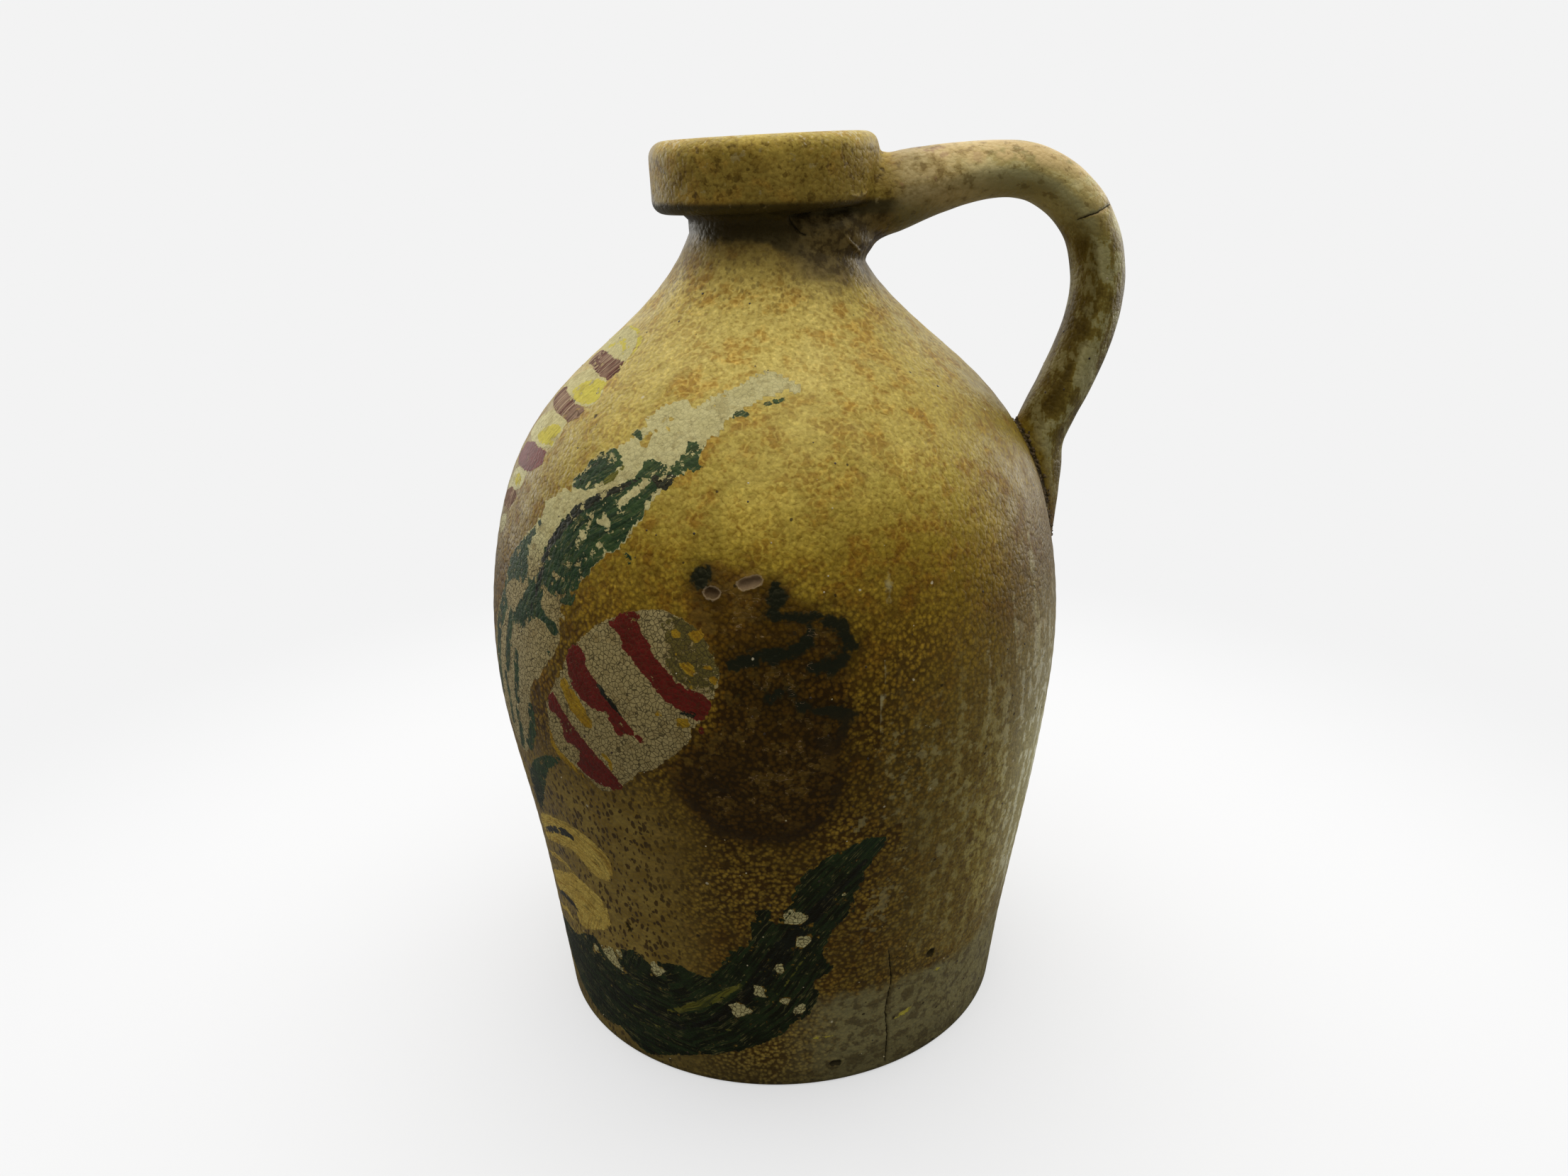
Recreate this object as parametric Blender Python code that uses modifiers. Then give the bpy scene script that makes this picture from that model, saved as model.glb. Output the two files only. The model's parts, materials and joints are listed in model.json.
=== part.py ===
"""One-handled salt-glazed stoneware jug: a turned hollow body, a wide collar mouth and a pulled handle.

Metres, +Z up. The origin is the middle of the flat underside, and the handle stands out along +X.
The jug is one fired piece, so it is one solid. It is built the way a potter makes it: the wall is
turned, the handle is pulled and luted to the collar and the shoulder, and the inside stays open.
"""

import math

import bmesh
import bpy
import numpy as np
from mathutils import Matrix, Vector

# Wall, floor and bore
WALL = 0.0078
FLOOR = 0.0095
FLOOR_CORNER = 0.0140
MOUTH_RADIUS = 0.0210
MOUTH_ROUND = 0.0040

# Outer wall: the radius at each station, and how far each station rises above the one below it
FOOT_RADIUS = 0.0932
LOWER_WALL_RISE = 0.0410
LOWER_WALL_RADIUS = 0.0978
WAIST_RISE = 0.0540
WAIST_RADIUS = 0.1054
BELLY_RISE = 0.0680
BELLY_RADIUS = 0.1122
UPPER_BELLY_RISE = 0.0410
UPPER_BELLY_RADIUS = 0.1066
SHOULDER_RISE = 0.0270
SHOULDER_RADIUS = 0.0967
SHOULDER_TOP_RISE = 0.0240
SHOULDER_TOP_RADIUS = 0.0785
SLOPE_RISE = 0.0200
SLOPE_RADIUS = 0.0559
NECK_ROOT_RISE = 0.0170
NECK_ROOT_FLARE = 0.0104
NECK_RISE = 0.0175
NECK_RADIUS = MOUTH_RADIUS + WALL
FOOT_CHAMFER = 0.0006

# Collar round the mouth
COLLAR_RISE = 0.0070
COLLAR_OVERHANG = 0.0127
COLLAR_RADIUS = NECK_RADIUS + COLLAR_OVERHANG
COLLAR_HEIGHT = 0.0248
COLLAR_TOP_ROUND = 0.0058
COLLAR_UNDER_ROUND = 0.0048

# Hand-thrown lean: the rim drifts sideways, the lower wall sways, and the collar is a little out of level
RIM_DRIFT = 0.0019
WALL_SWAY = 0.0010
SWAY_HEIGHT = 0.0800
SWAY_REACH = 0.0650
COLLAR_TILT = math.radians(1.8)

# Handle, pulled from the collar out to the grip and down to the shoulder
HANDLE_THICKNESS = 0.0194
HANDLE_WIDTH = 0.0270
ROOT_BELOW_COLLAR_UNDERSIDE = 0.0028
ROOT_SWELL = 1.55
ROOT_WIDTH_SWELL = 1.30
CREST_SHARE = 0.565
CREST_ABOVE_COLLAR_UNDERSIDE = 0.0121
GRIP_BELOW_CREST = 0.0408
GRIP_BEYOND_LANDING = 0.0179
LANDING_HEIGHT_ON_SHOULDER = 0.0030
LANDING_STANDOFF = 0.0109
TAIL_LENGTH = 0.0540
TAIL_STANDOFF = -0.0038
TAIL_THICKNESS = 0.0080
TAIL_WIDTH = 0.0180
TAPER_START = 3.3

# How far each stretch of the handle's curve runs on before it bends, as shares of the stretch
ROOT_RUN = 0.35
ROOT_LIFT = 0.62
ROUND_RUN = 0.56
GRIP_RUN = 0.34
LANDING_RUN = 0.23
TAIL_RUN = 0.41
LANDING_FLARE = 0.10
TAIL_FLARE = 0.03

# Web of clay smeared round the neck under the handle's root: the neck's own round, moved towards the handle
WEB_OFFSET = 0.0128
WEB_HEIGHT = 0.0330
WEB_BELOW_COLLAR_UNDERSIDE = 0.0086

# Facets
AROUND = 56
WALL_STEP = 0.0115
INSIDE_STEP = 0.0190
ROUND_STEPS = 4
HANDLE_AROUND = 16
HANDLE_STEPS = 9

GLAZE_COLOUR = (0.33, 0.22, 0.075, 1.0)
GLAZE_ROUGHNESS = 0.38


def clear_scene():
    """Removes whatever the file holds before the jug is built."""
    for thing in list(bpy.data.objects):
        bpy.data.objects.remove(thing, do_unlink=True)


def make_collection(name):
    """A new collection in the scene."""
    collection = bpy.data.collections.new(name)
    bpy.context.scene.collection.children.link(collection)
    return collection


def outer_stations():
    """(height, radius) of each station up the outer wall, from the foot to the neck's narrowest ring."""
    steps = [
        (0.0, FOOT_RADIUS),
        (LOWER_WALL_RISE, LOWER_WALL_RADIUS),
        (WAIST_RISE, WAIST_RADIUS),
        (BELLY_RISE, BELLY_RADIUS),
        (UPPER_BELLY_RISE, UPPER_BELLY_RADIUS),
        (SHOULDER_RISE, SHOULDER_RADIUS),
        (SHOULDER_TOP_RISE, SHOULDER_TOP_RADIUS),
        (SLOPE_RISE, SLOPE_RADIUS),
        (NECK_ROOT_RISE, NECK_RADIUS + NECK_ROOT_FLARE),
        (NECK_RISE, NECK_RADIUS),
    ]
    stations = []
    height = 0.0
    for rise, radius in steps:
        height += rise
        stations.append((height, radius))
    return stations


STATIONS = outer_stations()
NECK_HEIGHT = STATIONS[-1][0]
SHOULDER_HEIGHT = STATIONS[5][0]
COLLAR_UNDERSIDE = NECK_HEIGHT + COLLAR_RISE
RIM_HEIGHT = COLLAR_UNDERSIDE + COLLAR_HEIGHT


def spline_bends(stations):
    """Second derivatives of the natural cubic through the stations."""
    heights = np.array([height for height, _ in stations])
    radii = np.array([radius for _, radius in stations])
    gaps = np.diff(heights)
    count = len(heights)
    matrix = np.eye(count)
    right = np.zeros(count)
    for i in range(1, count - 1):
        matrix[i, i - 1 : i + 2] = gaps[i - 1], 2 * (gaps[i - 1] + gaps[i]), gaps[i]
        right[i] = 6 * ((radii[i + 1] - radii[i]) / gaps[i] - (radii[i] - radii[i - 1]) / gaps[i - 1])
    return np.linalg.solve(matrix, right)


BENDS = spline_bends(STATIONS)


def wall_radius(height):
    """Radius of the outer wall at a height between the foot and the neck."""
    height = min(max(height, 0.0), NECK_HEIGHT)
    index = 0
    while index < len(STATIONS) - 2 and height > STATIONS[index + 1][0]:
        index += 1
    (low, low_radius), (high, high_radius) = STATIONS[index], STATIONS[index + 1]
    gap = high - low
    up = (height - low) / gap
    down = 1.0 - up
    bend = (down**3 - down) * BENDS[index] + (up**3 - up) * BENDS[index + 1]
    return down * low_radius + up * high_radius + bend * gap**2 / 6


def wall_slope(height):
    """How fast the outer wall's radius grows with height."""
    reach = 0.0005
    return (wall_radius(height + reach) - wall_radius(height - reach)) / (2 * reach)


def quarter_round(centre, radius, start):
    """Points of a quarter circle turned clockwise from an angle in degrees, both ends included."""
    points = []
    for i in range(ROUND_STEPS + 1):
        angle = math.radians(start - 90.0 * i / ROUND_STEPS)
        points.append((centre[0] + radius * math.cos(angle), centre[1] + radius * math.sin(angle)))
    return points


def outside_profile():
    """The jug's outline as (radius, height), from the rim's middle round to the underside's middle."""
    top = quarter_round(
        (COLLAR_RADIUS - COLLAR_TOP_ROUND, RIM_HEIGHT - COLLAR_TOP_ROUND), COLLAR_TOP_ROUND, 90.0
    )
    under = quarter_round(
        (COLLAR_RADIUS - COLLAR_UNDER_ROUND, COLLAR_UNDERSIDE + COLLAR_UNDER_ROUND), COLLAR_UNDER_ROUND, 0.0
    )
    throat_ease = COLLAR_RISE / 3
    throat = [(NECK_RADIUS + throat_ease, COLLAR_UNDERSIDE), (NECK_RADIUS, COLLAR_UNDERSIDE - throat_ease)]
    count = round(NECK_HEIGHT / WALL_STEP)
    wall = []
    for i in range(count + 1):
        height = NECK_HEIGHT - (NECK_HEIGHT - FOOT_CHAMFER) * i / count
        wall.append((wall_radius(height), height))
    foot = [(FOOT_RADIUS - FOOT_CHAMFER, 0.0), (0.0, 0.0)]
    return [(0.0, RIM_HEIGHT)] + top + under + throat + wall + foot


def inside_profile():
    """The hollow's outline as (radius, height), from above the mouth down to the middle of the floor."""
    above = RIM_HEIGHT + MOUTH_ROUND
    centre = (MOUTH_RADIUS + MOUTH_ROUND, RIM_HEIGHT - MOUTH_ROUND)
    points = [(0.0, above), (centre[0], above)]
    for i in range(ROUND_STEPS + 1):
        turn = math.radians(90.0 + 90.0 * i / ROUND_STEPS)
        points.append((centre[0] + MOUTH_ROUND * math.cos(turn), centre[1] + MOUTH_ROUND * math.sin(turn)))
    low = FLOOR + FLOOR_CORNER
    count = round((NECK_HEIGHT - low) / INSIDE_STEP)
    for i in range(count + 1):
        height = NECK_HEIGHT - (NECK_HEIGHT - low) * i / count
        leaning_wall = WALL * math.sqrt(1 + min(wall_slope(height) ** 2, 1.0))
        points.append((max(wall_radius(height) - leaning_wall, MOUTH_RADIUS), height))
    corner = (points[-1][0] - FLOOR_CORNER, low)
    for i in range(1, ROUND_STEPS + 1):
        turn = math.radians(-90.0 * i / ROUND_STEPS)
        points.append((corner[0] + FLOOR_CORNER * math.cos(turn), corner[1] + FLOOR_CORNER * math.sin(turn)))
    return points + [(0.0, FLOOR)]


def ease(value):
    """A smooth step from 0 to 1."""
    value = min(max(value, 0.0), 1.0)
    return value * value * (3 - 2 * value)


def lean(point):
    """Where the hand-thrown lean and the tilted collar carry a point of the upright turned shape."""
    moved = Vector(point)
    pivot = Vector((0.0, 0.0, NECK_HEIGHT - NECK_RISE))
    angle = COLLAR_TILT * ease((moved.z - pivot.z) / NECK_RISE)
    moved = pivot + Matrix.Rotation(-angle, 3, "Y") @ (moved - pivot)
    sway = WALL_SWAY * ease(1 - abs(point[2] - SWAY_HEIGHT) / SWAY_REACH)
    moved.x += RIM_DRIFT * point[2] / RIM_HEIGHT + sway
    return moved


def turned_solid(name, profile, collection):
    """A closed solid turned round the Z axis from a profile, with the jug's lean in its mesh."""
    mesh = bpy.data.meshes.new(name + "_profile")
    edges = [(i, i + 1) for i in range(len(profile) - 1)]
    mesh.from_pydata([(radius, 0.0, height) for radius, height in profile], edges, [])
    turning = bpy.data.objects.new(name + "_turning", mesh)
    collection.objects.link(turning)
    screw = turning.modifiers.new("Turn", "SCREW")
    screw.axis = "Z"
    screw.angle = math.tau
    screw.steps = AROUND
    screw.render_steps = AROUND
    screw.use_merge_vertices = True
    screw.merge_threshold = 0.00005
    solid = settle(turning, name, collection)
    for vertex in solid.data.vertices:
        vertex.co = lean(vertex.co)
    return solid


def settle(source, name, collection):
    """Puts a plain mesh object in the place of one whose modifiers give it its shape."""
    depsgraph = bpy.context.evaluated_depsgraph_get()
    mesh = bpy.data.meshes.new_from_object(source.evaluated_get(depsgraph))
    mesh.name = name
    settled = bpy.data.objects.new(name, mesh)
    settled.matrix_world = source.matrix_world.copy()
    collection.objects.link(settled)
    bpy.data.objects.remove(source, do_unlink=True)
    return settled


def bezier(start, start_pull, end_pull, end, steps):
    """Points of a cubic Bezier curve, the start left out."""
    points = []
    for i in range(1, steps + 1):
        t = i / steps
        s = 1 - t
        points.append(start * s**3 + start_pull * (3 * s * s * t) + end_pull * (3 * s * t * t) + end * t**3)
    return points


def handle_route():
    """The handle's centreline in the XZ plane, from the root over crest, grip and landing to the tail."""
    underside = COLLAR_UNDERSIDE
    landing_height = SHOULDER_HEIGHT + LANDING_HEIGHT_ON_SHOULDER
    landing = Vector((wall_radius(landing_height) + LANDING_STANDOFF, 0.0, landing_height))
    crest_height = underside + CREST_ABOVE_COLLAR_UNDERSIDE
    grip = Vector((landing.x + GRIP_BEYOND_LANDING, 0.0, crest_height - GRIP_BELOW_CREST))
    crest = Vector((COLLAR_RADIUS + (grip.x - COLLAR_RADIUS) * CREST_SHARE, 0.0, crest_height))
    root = Vector((MOUTH_RADIUS, 0.0, underside - ROOT_BELOW_COLLAR_UNDERSIDE))
    tail_height = landing_height - TAIL_LENGTH
    tail = Vector((wall_radius(tail_height) + TAIL_STANDOFF, 0.0, tail_height))
    neck_side = Vector((NECK_RADIUS + RIM_DRIFT, 0.0, root.z))
    across = Vector((crest.x - neck_side.x, 0.0, 0.0))
    rise = Vector((0.0, 0.0, crest.z - root.z))
    drop = grip.z - landing.z
    upward = Vector((grip.x - landing.x, 0.0, drop)).normalized() + Vector((LANDING_FLARE, 0.0, 0.0))
    stretches = [
        (root, neck_side + across * ROOT_RUN + rise * ROOT_LIFT, crest - across * ROOT_RUN, crest),
        (
            crest,
            crest + Vector(((grip.x - crest.x) * ROUND_RUN, 0.0, 0.0)),
            grip + Vector((0.0, 0.0, GRIP_BELOW_CREST * ROUND_RUN)),
            grip,
        ),
        (grip, grip - Vector((0.0, 0.0, drop * GRIP_RUN)), landing + upward * (drop * GRIP_RUN), landing),
        (
            landing,
            landing - upward * (TAIL_LENGTH * LANDING_RUN),
            tail + Vector((TAIL_FLARE, 0.0, TAIL_RUN)) * TAIL_LENGTH,
            tail,
        ),
    ]
    route = [root]
    for start, start_pull, end_pull, end in stretches:
        route += bezier(start, start_pull, end_pull, end, HANDLE_STEPS)
    return route


def handle_section(stretch):
    """Half thickness and half width of the handle, where stretch counts the four stretches from 0 to 4."""
    swell = 1.0 - ease(stretch)
    taper = ease((stretch - TAPER_START) / (4.0 - TAPER_START))
    thickness = HANDLE_THICKNESS * (1 + (ROOT_SWELL - 1) * swell)
    width = HANDLE_WIDTH * (1 + (ROOT_WIDTH_SWELL - 1) * swell)
    thickness += (TAIL_THICKNESS - thickness) * taper
    width += (TAIL_WIDTH - width) * taper
    return thickness / 2, width / 2


def handle_solid(name, collection):
    """The pulled handle as one loft of oval sections, closed at both ends."""
    route = handle_route()
    shape = bmesh.new()
    rings = []
    for i, centre in enumerate(route):
        before = route[max(i - 1, 0)]
        after = route[min(i + 1, len(route) - 1)]
        along = (after - before).normalized()
        outward = Vector((0.0, 1.0, 0.0)).cross(along).normalized()
        half_thickness, half_width = handle_section(i / HANDLE_STEPS)
        ring = []
        for k in range(HANDLE_AROUND):
            angle = math.tau * k / HANDLE_AROUND
            side = Vector((0.0, half_width * math.sin(angle), 0.0))
            ring.append(shape.verts.new(centre + outward * (half_thickness * math.cos(angle)) + side))
        rings.append(ring)
    for low, high in zip(rings, rings[1:]):
        for k in range(HANDLE_AROUND):
            after = (k + 1) % HANDLE_AROUND
            shape.faces.new((low[k], low[after], high[after], high[k]))
    shape.faces.new(list(reversed(rings[0])))
    shape.faces.new(rings[-1])
    bmesh.ops.recalc_face_normals(shape, faces=shape.faces)
    mesh = bpy.data.meshes.new(name)
    shape.to_mesh(mesh)
    shape.free()
    handle = bpy.data.objects.new(name, mesh)
    collection.objects.link(handle)
    return handle


def root_web(name, collection):
    """The crescent of clay smeared round the neck under the collar, where the handle was luted on."""
    shape = bmesh.new()
    bmesh.ops.create_uvsphere(shape, u_segments=28, v_segments=12, radius=1.0)
    size = Matrix.Diagonal((NECK_RADIUS, NECK_RADIUS, WEB_HEIGHT / 2, 1.0))
    centre = Vector((WEB_OFFSET, 0.0, COLLAR_UNDERSIDE - WEB_BELOW_COLLAR_UNDERSIDE))
    bmesh.ops.transform(shape, matrix=Matrix.Translation(centre) @ size, verts=shape.verts)
    mesh = bpy.data.meshes.new(name)
    shape.to_mesh(mesh)
    shape.free()
    web = bpy.data.objects.new(name, mesh)
    collection.objects.link(web)
    return web


def make_tool(thing):
    """Marks an object as a shape that only cuts or joins."""
    thing.hide_render = True
    thing.display_type = "WIRE"


def combine(target, tool, operation):
    """Adds one Boolean step to the target."""
    step = target.modifiers.new(tool.name, "BOOLEAN")
    step.operation = operation
    step.object = tool
    step.solver = "EXACT"


def salt_glaze():
    """The jug's one material: a warm brown salt glaze."""
    material = bpy.data.materials.new("salt_glaze")
    material.use_nodes = True
    shader = material.node_tree.nodes["Principled BSDF"]
    shader.inputs["Base Color"].default_value = GLAZE_COLOUR
    shader.inputs["Roughness"].default_value = GLAZE_ROUGHNESS
    shader.inputs["Metallic"].default_value = 0.0
    material.diffuse_color = GLAZE_COLOUR
    return material


def build():
    """Builds the jug in its own collection, with the joined and cutting shapes in another."""
    clear_scene()
    object_collection = make_collection("salt_glazed_jug")
    tool_collection = make_collection("tools")
    jug = turned_solid("jug", outside_profile(), object_collection)
    handle = handle_solid("pulled_handle", tool_collection)
    web = root_web("luted_root", tool_collection)
    hollow = turned_solid("hollow", inside_profile(), tool_collection)
    for tool in (handle, web, hollow):
        make_tool(tool)
    combine(jug, handle, "UNION")
    combine(jug, web, "UNION")
    combine(jug, hollow, "DIFFERENCE")
    jug.data.materials.append(salt_glaze())
    jug.data.shade_smooth()
    jug.data.set_sharp_from_angle(angle=math.radians(40.0))


build()
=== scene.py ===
"""Dressed view of a salt-glazed stoneware jug with one pulled handle and worn cold-painted decoration.

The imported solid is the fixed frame, in metres. One fired piece stands for it. Its wall is turned by
Geometry Nodes from the same driving sizes, and the pulled handle and the clay smeared round its root are
joined to it. The joints, pits, cracks and paint are worked into that one mesh. Melted iron specks, pale salt
pops and crumbs of clay are scattered over it by Geometry Nodes with fixed seeds.

A place on the wall is written as (azimuth, height): degrees round the body, with 0 at the handle and 270 at
the painted front, and millimetres above the table.
"""

import json
import logging
import math
from dataclasses import dataclass, field
from enum import Enum, IntEnum
from functools import cached_property, partial, reduce
from typing import Any, Iterable, Sequence

import bmesh
import bpy
import numpy as np
from mathutils import Matrix, Vector, noise
from mathutils.bvhtree import BVHTree

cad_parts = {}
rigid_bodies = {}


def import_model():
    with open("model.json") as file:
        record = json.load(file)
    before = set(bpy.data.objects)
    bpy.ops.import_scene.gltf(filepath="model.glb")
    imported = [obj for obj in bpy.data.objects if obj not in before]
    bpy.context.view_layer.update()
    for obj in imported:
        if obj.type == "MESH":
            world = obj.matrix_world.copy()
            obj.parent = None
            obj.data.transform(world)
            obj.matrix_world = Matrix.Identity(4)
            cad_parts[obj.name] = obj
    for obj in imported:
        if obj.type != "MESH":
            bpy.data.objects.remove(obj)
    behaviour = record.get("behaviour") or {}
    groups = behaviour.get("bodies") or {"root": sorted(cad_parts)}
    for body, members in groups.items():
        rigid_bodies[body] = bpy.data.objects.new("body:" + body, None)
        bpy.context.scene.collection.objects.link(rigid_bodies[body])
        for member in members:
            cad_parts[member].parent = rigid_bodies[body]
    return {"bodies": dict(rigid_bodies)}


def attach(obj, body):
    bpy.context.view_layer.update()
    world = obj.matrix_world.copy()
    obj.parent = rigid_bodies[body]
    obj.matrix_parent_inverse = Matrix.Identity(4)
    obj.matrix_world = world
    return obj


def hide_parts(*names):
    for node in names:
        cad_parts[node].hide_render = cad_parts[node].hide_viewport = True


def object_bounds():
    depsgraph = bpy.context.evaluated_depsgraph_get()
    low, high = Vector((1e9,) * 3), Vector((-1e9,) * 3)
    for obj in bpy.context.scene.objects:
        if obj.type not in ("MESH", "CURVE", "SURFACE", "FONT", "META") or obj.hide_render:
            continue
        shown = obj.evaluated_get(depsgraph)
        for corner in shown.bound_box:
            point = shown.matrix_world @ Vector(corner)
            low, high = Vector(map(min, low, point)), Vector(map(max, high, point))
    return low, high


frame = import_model()
CAD_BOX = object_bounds()
LOG = logging.getLogger("jug")

MM = 0.001
BODY = next(iter(frame["bodies"]))

Place = tuple[float, float]
Colour = tuple[float, float, float]
Socket = bpy.types.NodeSocket
Groups = dict[str, bpy.types.NodeTree]


def ease(value: np.ndarray | float) -> np.ndarray:
    """A smooth step from 0 to 1.

    Args:
        value: Numbers that are clipped to 0 and 1 first.

    Returns:
        The eased numbers.
    """
    value = np.clip(value, 0.0, 1.0)
    return value * value * (3 - 2 * value)


def quarter_round(centre: Place, radius: float, start: float, turn: float, steps: int) -> list[Place]:
    """Points of an arc, both ends included.

    Args:
        centre: The arc's centre.
        radius: The arc's radius.
        start: The first point's angle in degrees.
        turn: How far the arc turns, in degrees.
        steps: How many gaps the arc has.

    Returns:
        The points.
    """
    angles = [math.radians(start + turn * i / steps) for i in range(steps + 1)]
    return [(centre[0] + radius * math.cos(a), centre[1] + radius * math.sin(a)) for a in angles]


def spaced(corners: Sequence[Place], step: float) -> list[Place]:
    """A line with enough points that no gap is longer than a step.

    Args:
        corners: The points that the line passes.
        step: The longest gap.

    Returns:
        The corners with the points between them.
    """
    points = [corners[0]]
    for start, end in zip(corners, corners[1:]):
        gaps = max(1, math.ceil(math.dist(start, end) / step))
        for i in range(1, gaps + 1):
            share = i / gaps
            points.append(tuple(a + (b - a) * share for a, b in zip(start, end)))
    return points


def nearest_on_line(points: np.ndarray, line: np.ndarray) -> tuple[np.ndarray, np.ndarray, np.ndarray]:
    """Finds the nearest place on a line for each point.

    Args:
        points: Points in space, one a row.
        line: The line's points, one a row.

    Returns:
        The distance, how many gaps along the line the nearest place is, and the nearest place.
    """
    best = np.full(len(points), np.inf)
    along = np.zeros(len(points))
    place = np.zeros_like(points)
    for i in range(len(line) - 1):
        gap = line[i + 1] - line[i]
        share = np.clip((points - line[i]) @ gap / max(gap @ gap, 1e-12), 0.0, 1.0)
        spot = line[i] + share[:, None] * gap
        distance = np.linalg.norm(points - spot, axis=1)
        closer = distance < best
        best[closer] = distance[closer]
        along[closer] = i + share[closer]
        place[closer] = spot[closer]
    return best, along, place


class Wiring:
    """Adds nodes to one tree and joins their sockets."""

    def __init__(self, tree: bpy.types.NodeTree) -> None:
        """Keeps the tree that the nodes go into."""
        self.tree = tree

    def add(self, kind: str, sockets: dict[str | int, Any] | None = None, **settings: Any) -> bpy.types.Node:
        """Adds a node.

        Args:
            kind: Blender's name for the kind of node.
            sockets: What goes into its inputs, as other nodes' sockets or plain values.
            **settings: The node's own settings, such as its operation.

        Returns:
            The node.
        """
        node = self.tree.nodes.new(kind)
        for name, value in settings.items():
            setattr(node, name, value)
        for key, value in (sockets or {}).items():
            self.feed(node.inputs[key], value)
        return node

    def feed(self, socket: Socket, value: Any) -> None:
        """Links a socket into another one, or sets it to a plain value."""
        if isinstance(value, Socket):
            self.tree.links.new(value, socket)
        else:
            socket.default_value = value

    def math(self, operation: str, *values: Any, clamp: bool = False) -> Socket:
        """The result of one arithmetic step on sockets or numbers."""
        node = self.add("ShaderNodeMath", dict(enumerate(values)), operation=operation, use_clamp=clamp)
        return node.outputs[0]

    def times(self, *values: Any) -> Socket:
        """Values multiplied together, from left to right."""
        return reduce(partial(self.math, "MULTIPLY"), values)

    def plus(self, *values: Any) -> Socket:
        """Values added up, from left to right."""
        return reduce(partial(self.math, "ADD"), values)

    def less(self, first: Any, second: Any) -> Socket:
        """One value less another."""
        return self.math("SUBTRACT", first, second)

    def times_plus(self, first: Any, second: Any, third: Any) -> Socket:
        """One value times a second one, plus a third."""
        return self.math("MULTIPLY_ADD", first, second, third)

    def near(self, value: Any, level: float, inner: float, outer: float) -> Socket:
        """A mask of where a value is close to a level: whole within inner of it, and gone beyond outer."""
        return self.span(self.math("ABSOLUTE", self.less(value, level)), inner, outer, 1.0, 0.0)

    def blend(self, share: Any, first: Any, second: Any) -> Socket:
        """A number between two others."""
        return self.add("ShaderNodeMix", {0: share, 2: first, 3: second}, data_type="FLOAT").outputs[0]

    def vector(self, operation: str, *values: Any, out: str = "Vector") -> Socket:
        """The result of one vector step on sockets or vectors."""
        return self.add("ShaderNodeVectorMath", dict(enumerate(values)), operation=operation).outputs[out]

    def scaled(self, vector: Any, amount: Any) -> Socket:
        """A vector made longer or shorter."""
        return self.add("ShaderNodeVectorMath", {0: vector, "Scale": amount}, operation="SCALE").outputs[0]

    def span(
        self, value: Any, low: Any, high: Any, to_low: Any = 0.0, to_high: Any = 1.0, smooth: bool = True
    ) -> Socket:
        """Maps one range onto another, and holds at its ends.

        Args:
            value: The socket that is mapped.
            low: Where the range starts.
            high: Where it ends.
            to_low: What the start becomes.
            to_high: What the end becomes.
            smooth: Whether the way between is eased.

        Returns:
            The mapped socket.
        """
        kind = "SMOOTHSTEP" if smooth else "LINEAR"
        sockets = {"Value": value, "From Min": low, "From Max": high, "To Min": to_low, "To Max": to_high}
        return self.add("ShaderNodeMapRange", sockets, interpolation_type=kind).outputs[0]

    def mix(self, share: Any, first: Any, second: Any, blend: str = "MIX") -> Socket:
        """Mixes two colours.

        Args:
            share: How much of the second colour shows.
            first: The colour underneath.
            second: The colour on top.
            blend: Blender's name for how they mix.

        Returns:
            The mixed colour.
        """
        colours = [(*c, 1.0) if isinstance(c, tuple) else c for c in (first, second)]
        sockets = {0: share, 6: colours[0], 7: colours[1]}
        return self.add("ShaderNodeMix", sockets, data_type="RGBA", blend_type=blend).outputs[2]

    def noise(self, vector: Any, scale: Any, detail: float = 2.0, roughness: float = 0.5) -> Socket:
        """Cloudy noise around one half.

        Args:
            vector: Where it is read.
            scale: Clouds a metre.
            detail: How many finer layers it has.
            roughness: How strong the finer layers are.

        Returns:
            The noise's value.
        """
        sockets = {"Vector": vector, "Scale": scale, "Detail": detail, "Roughness": roughness}
        return self.add("ShaderNodeTexNoise", sockets).outputs[0]

    def ramp(self, value: Any, stops: Sequence[tuple[float, Colour]]) -> Socket:
        """A colour that changes with a value.

        Args:
            value: The socket that is read, from 0 to 1.
            stops: Where each colour stands.

        Returns:
            The colour.
        """
        node = self.add("ShaderNodeValToRGB", {0: value})
        scale = node.color_ramp
        for index, (place, colour) in enumerate(stops):
            stop = scale.elements[index] if index < 2 else scale.elements.new(place)
            stop.position = place
            stop.color = (*colour, 1.0)
        return node.outputs[0]

    def attribute(self, name: str) -> Socket:
        """A number kept on the mesh's vertices."""
        return self.add("ShaderNodeAttribute", attribute_name=name).outputs["Fac"]


def new_group(
    kind: str, name: str, inputs: dict[str, tuple[str, Any]], outputs: dict[str, str]
) -> tuple[Wiring, bpy.types.Node, bpy.types.Node]:
    """Makes a node group with named sockets.

    Args:
        kind: Blender's name for the kind of tree.
        name: The group's name.
        inputs: The kind of each named input, and its value unless something else is set.
        outputs: The kind of each named output.

    Returns:
        The wiring of its tree, its input node and its output node.
    """
    tree = bpy.data.node_groups.new(name, kind)
    for label, (socket, value) in inputs.items():
        made = tree.interface.new_socket(label, in_out="INPUT", socket_type=f"NodeSocket{socket}")
        if value is not None:
            made.default_value = value
    for label, socket in outputs.items():
        tree.interface.new_socket(label, in_out="OUTPUT", socket_type=f"NodeSocket{socket}")
    wiring = Wiring(tree)
    return wiring, wiring.add("NodeGroupInput"), wiring.add("NodeGroupOutput")


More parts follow.
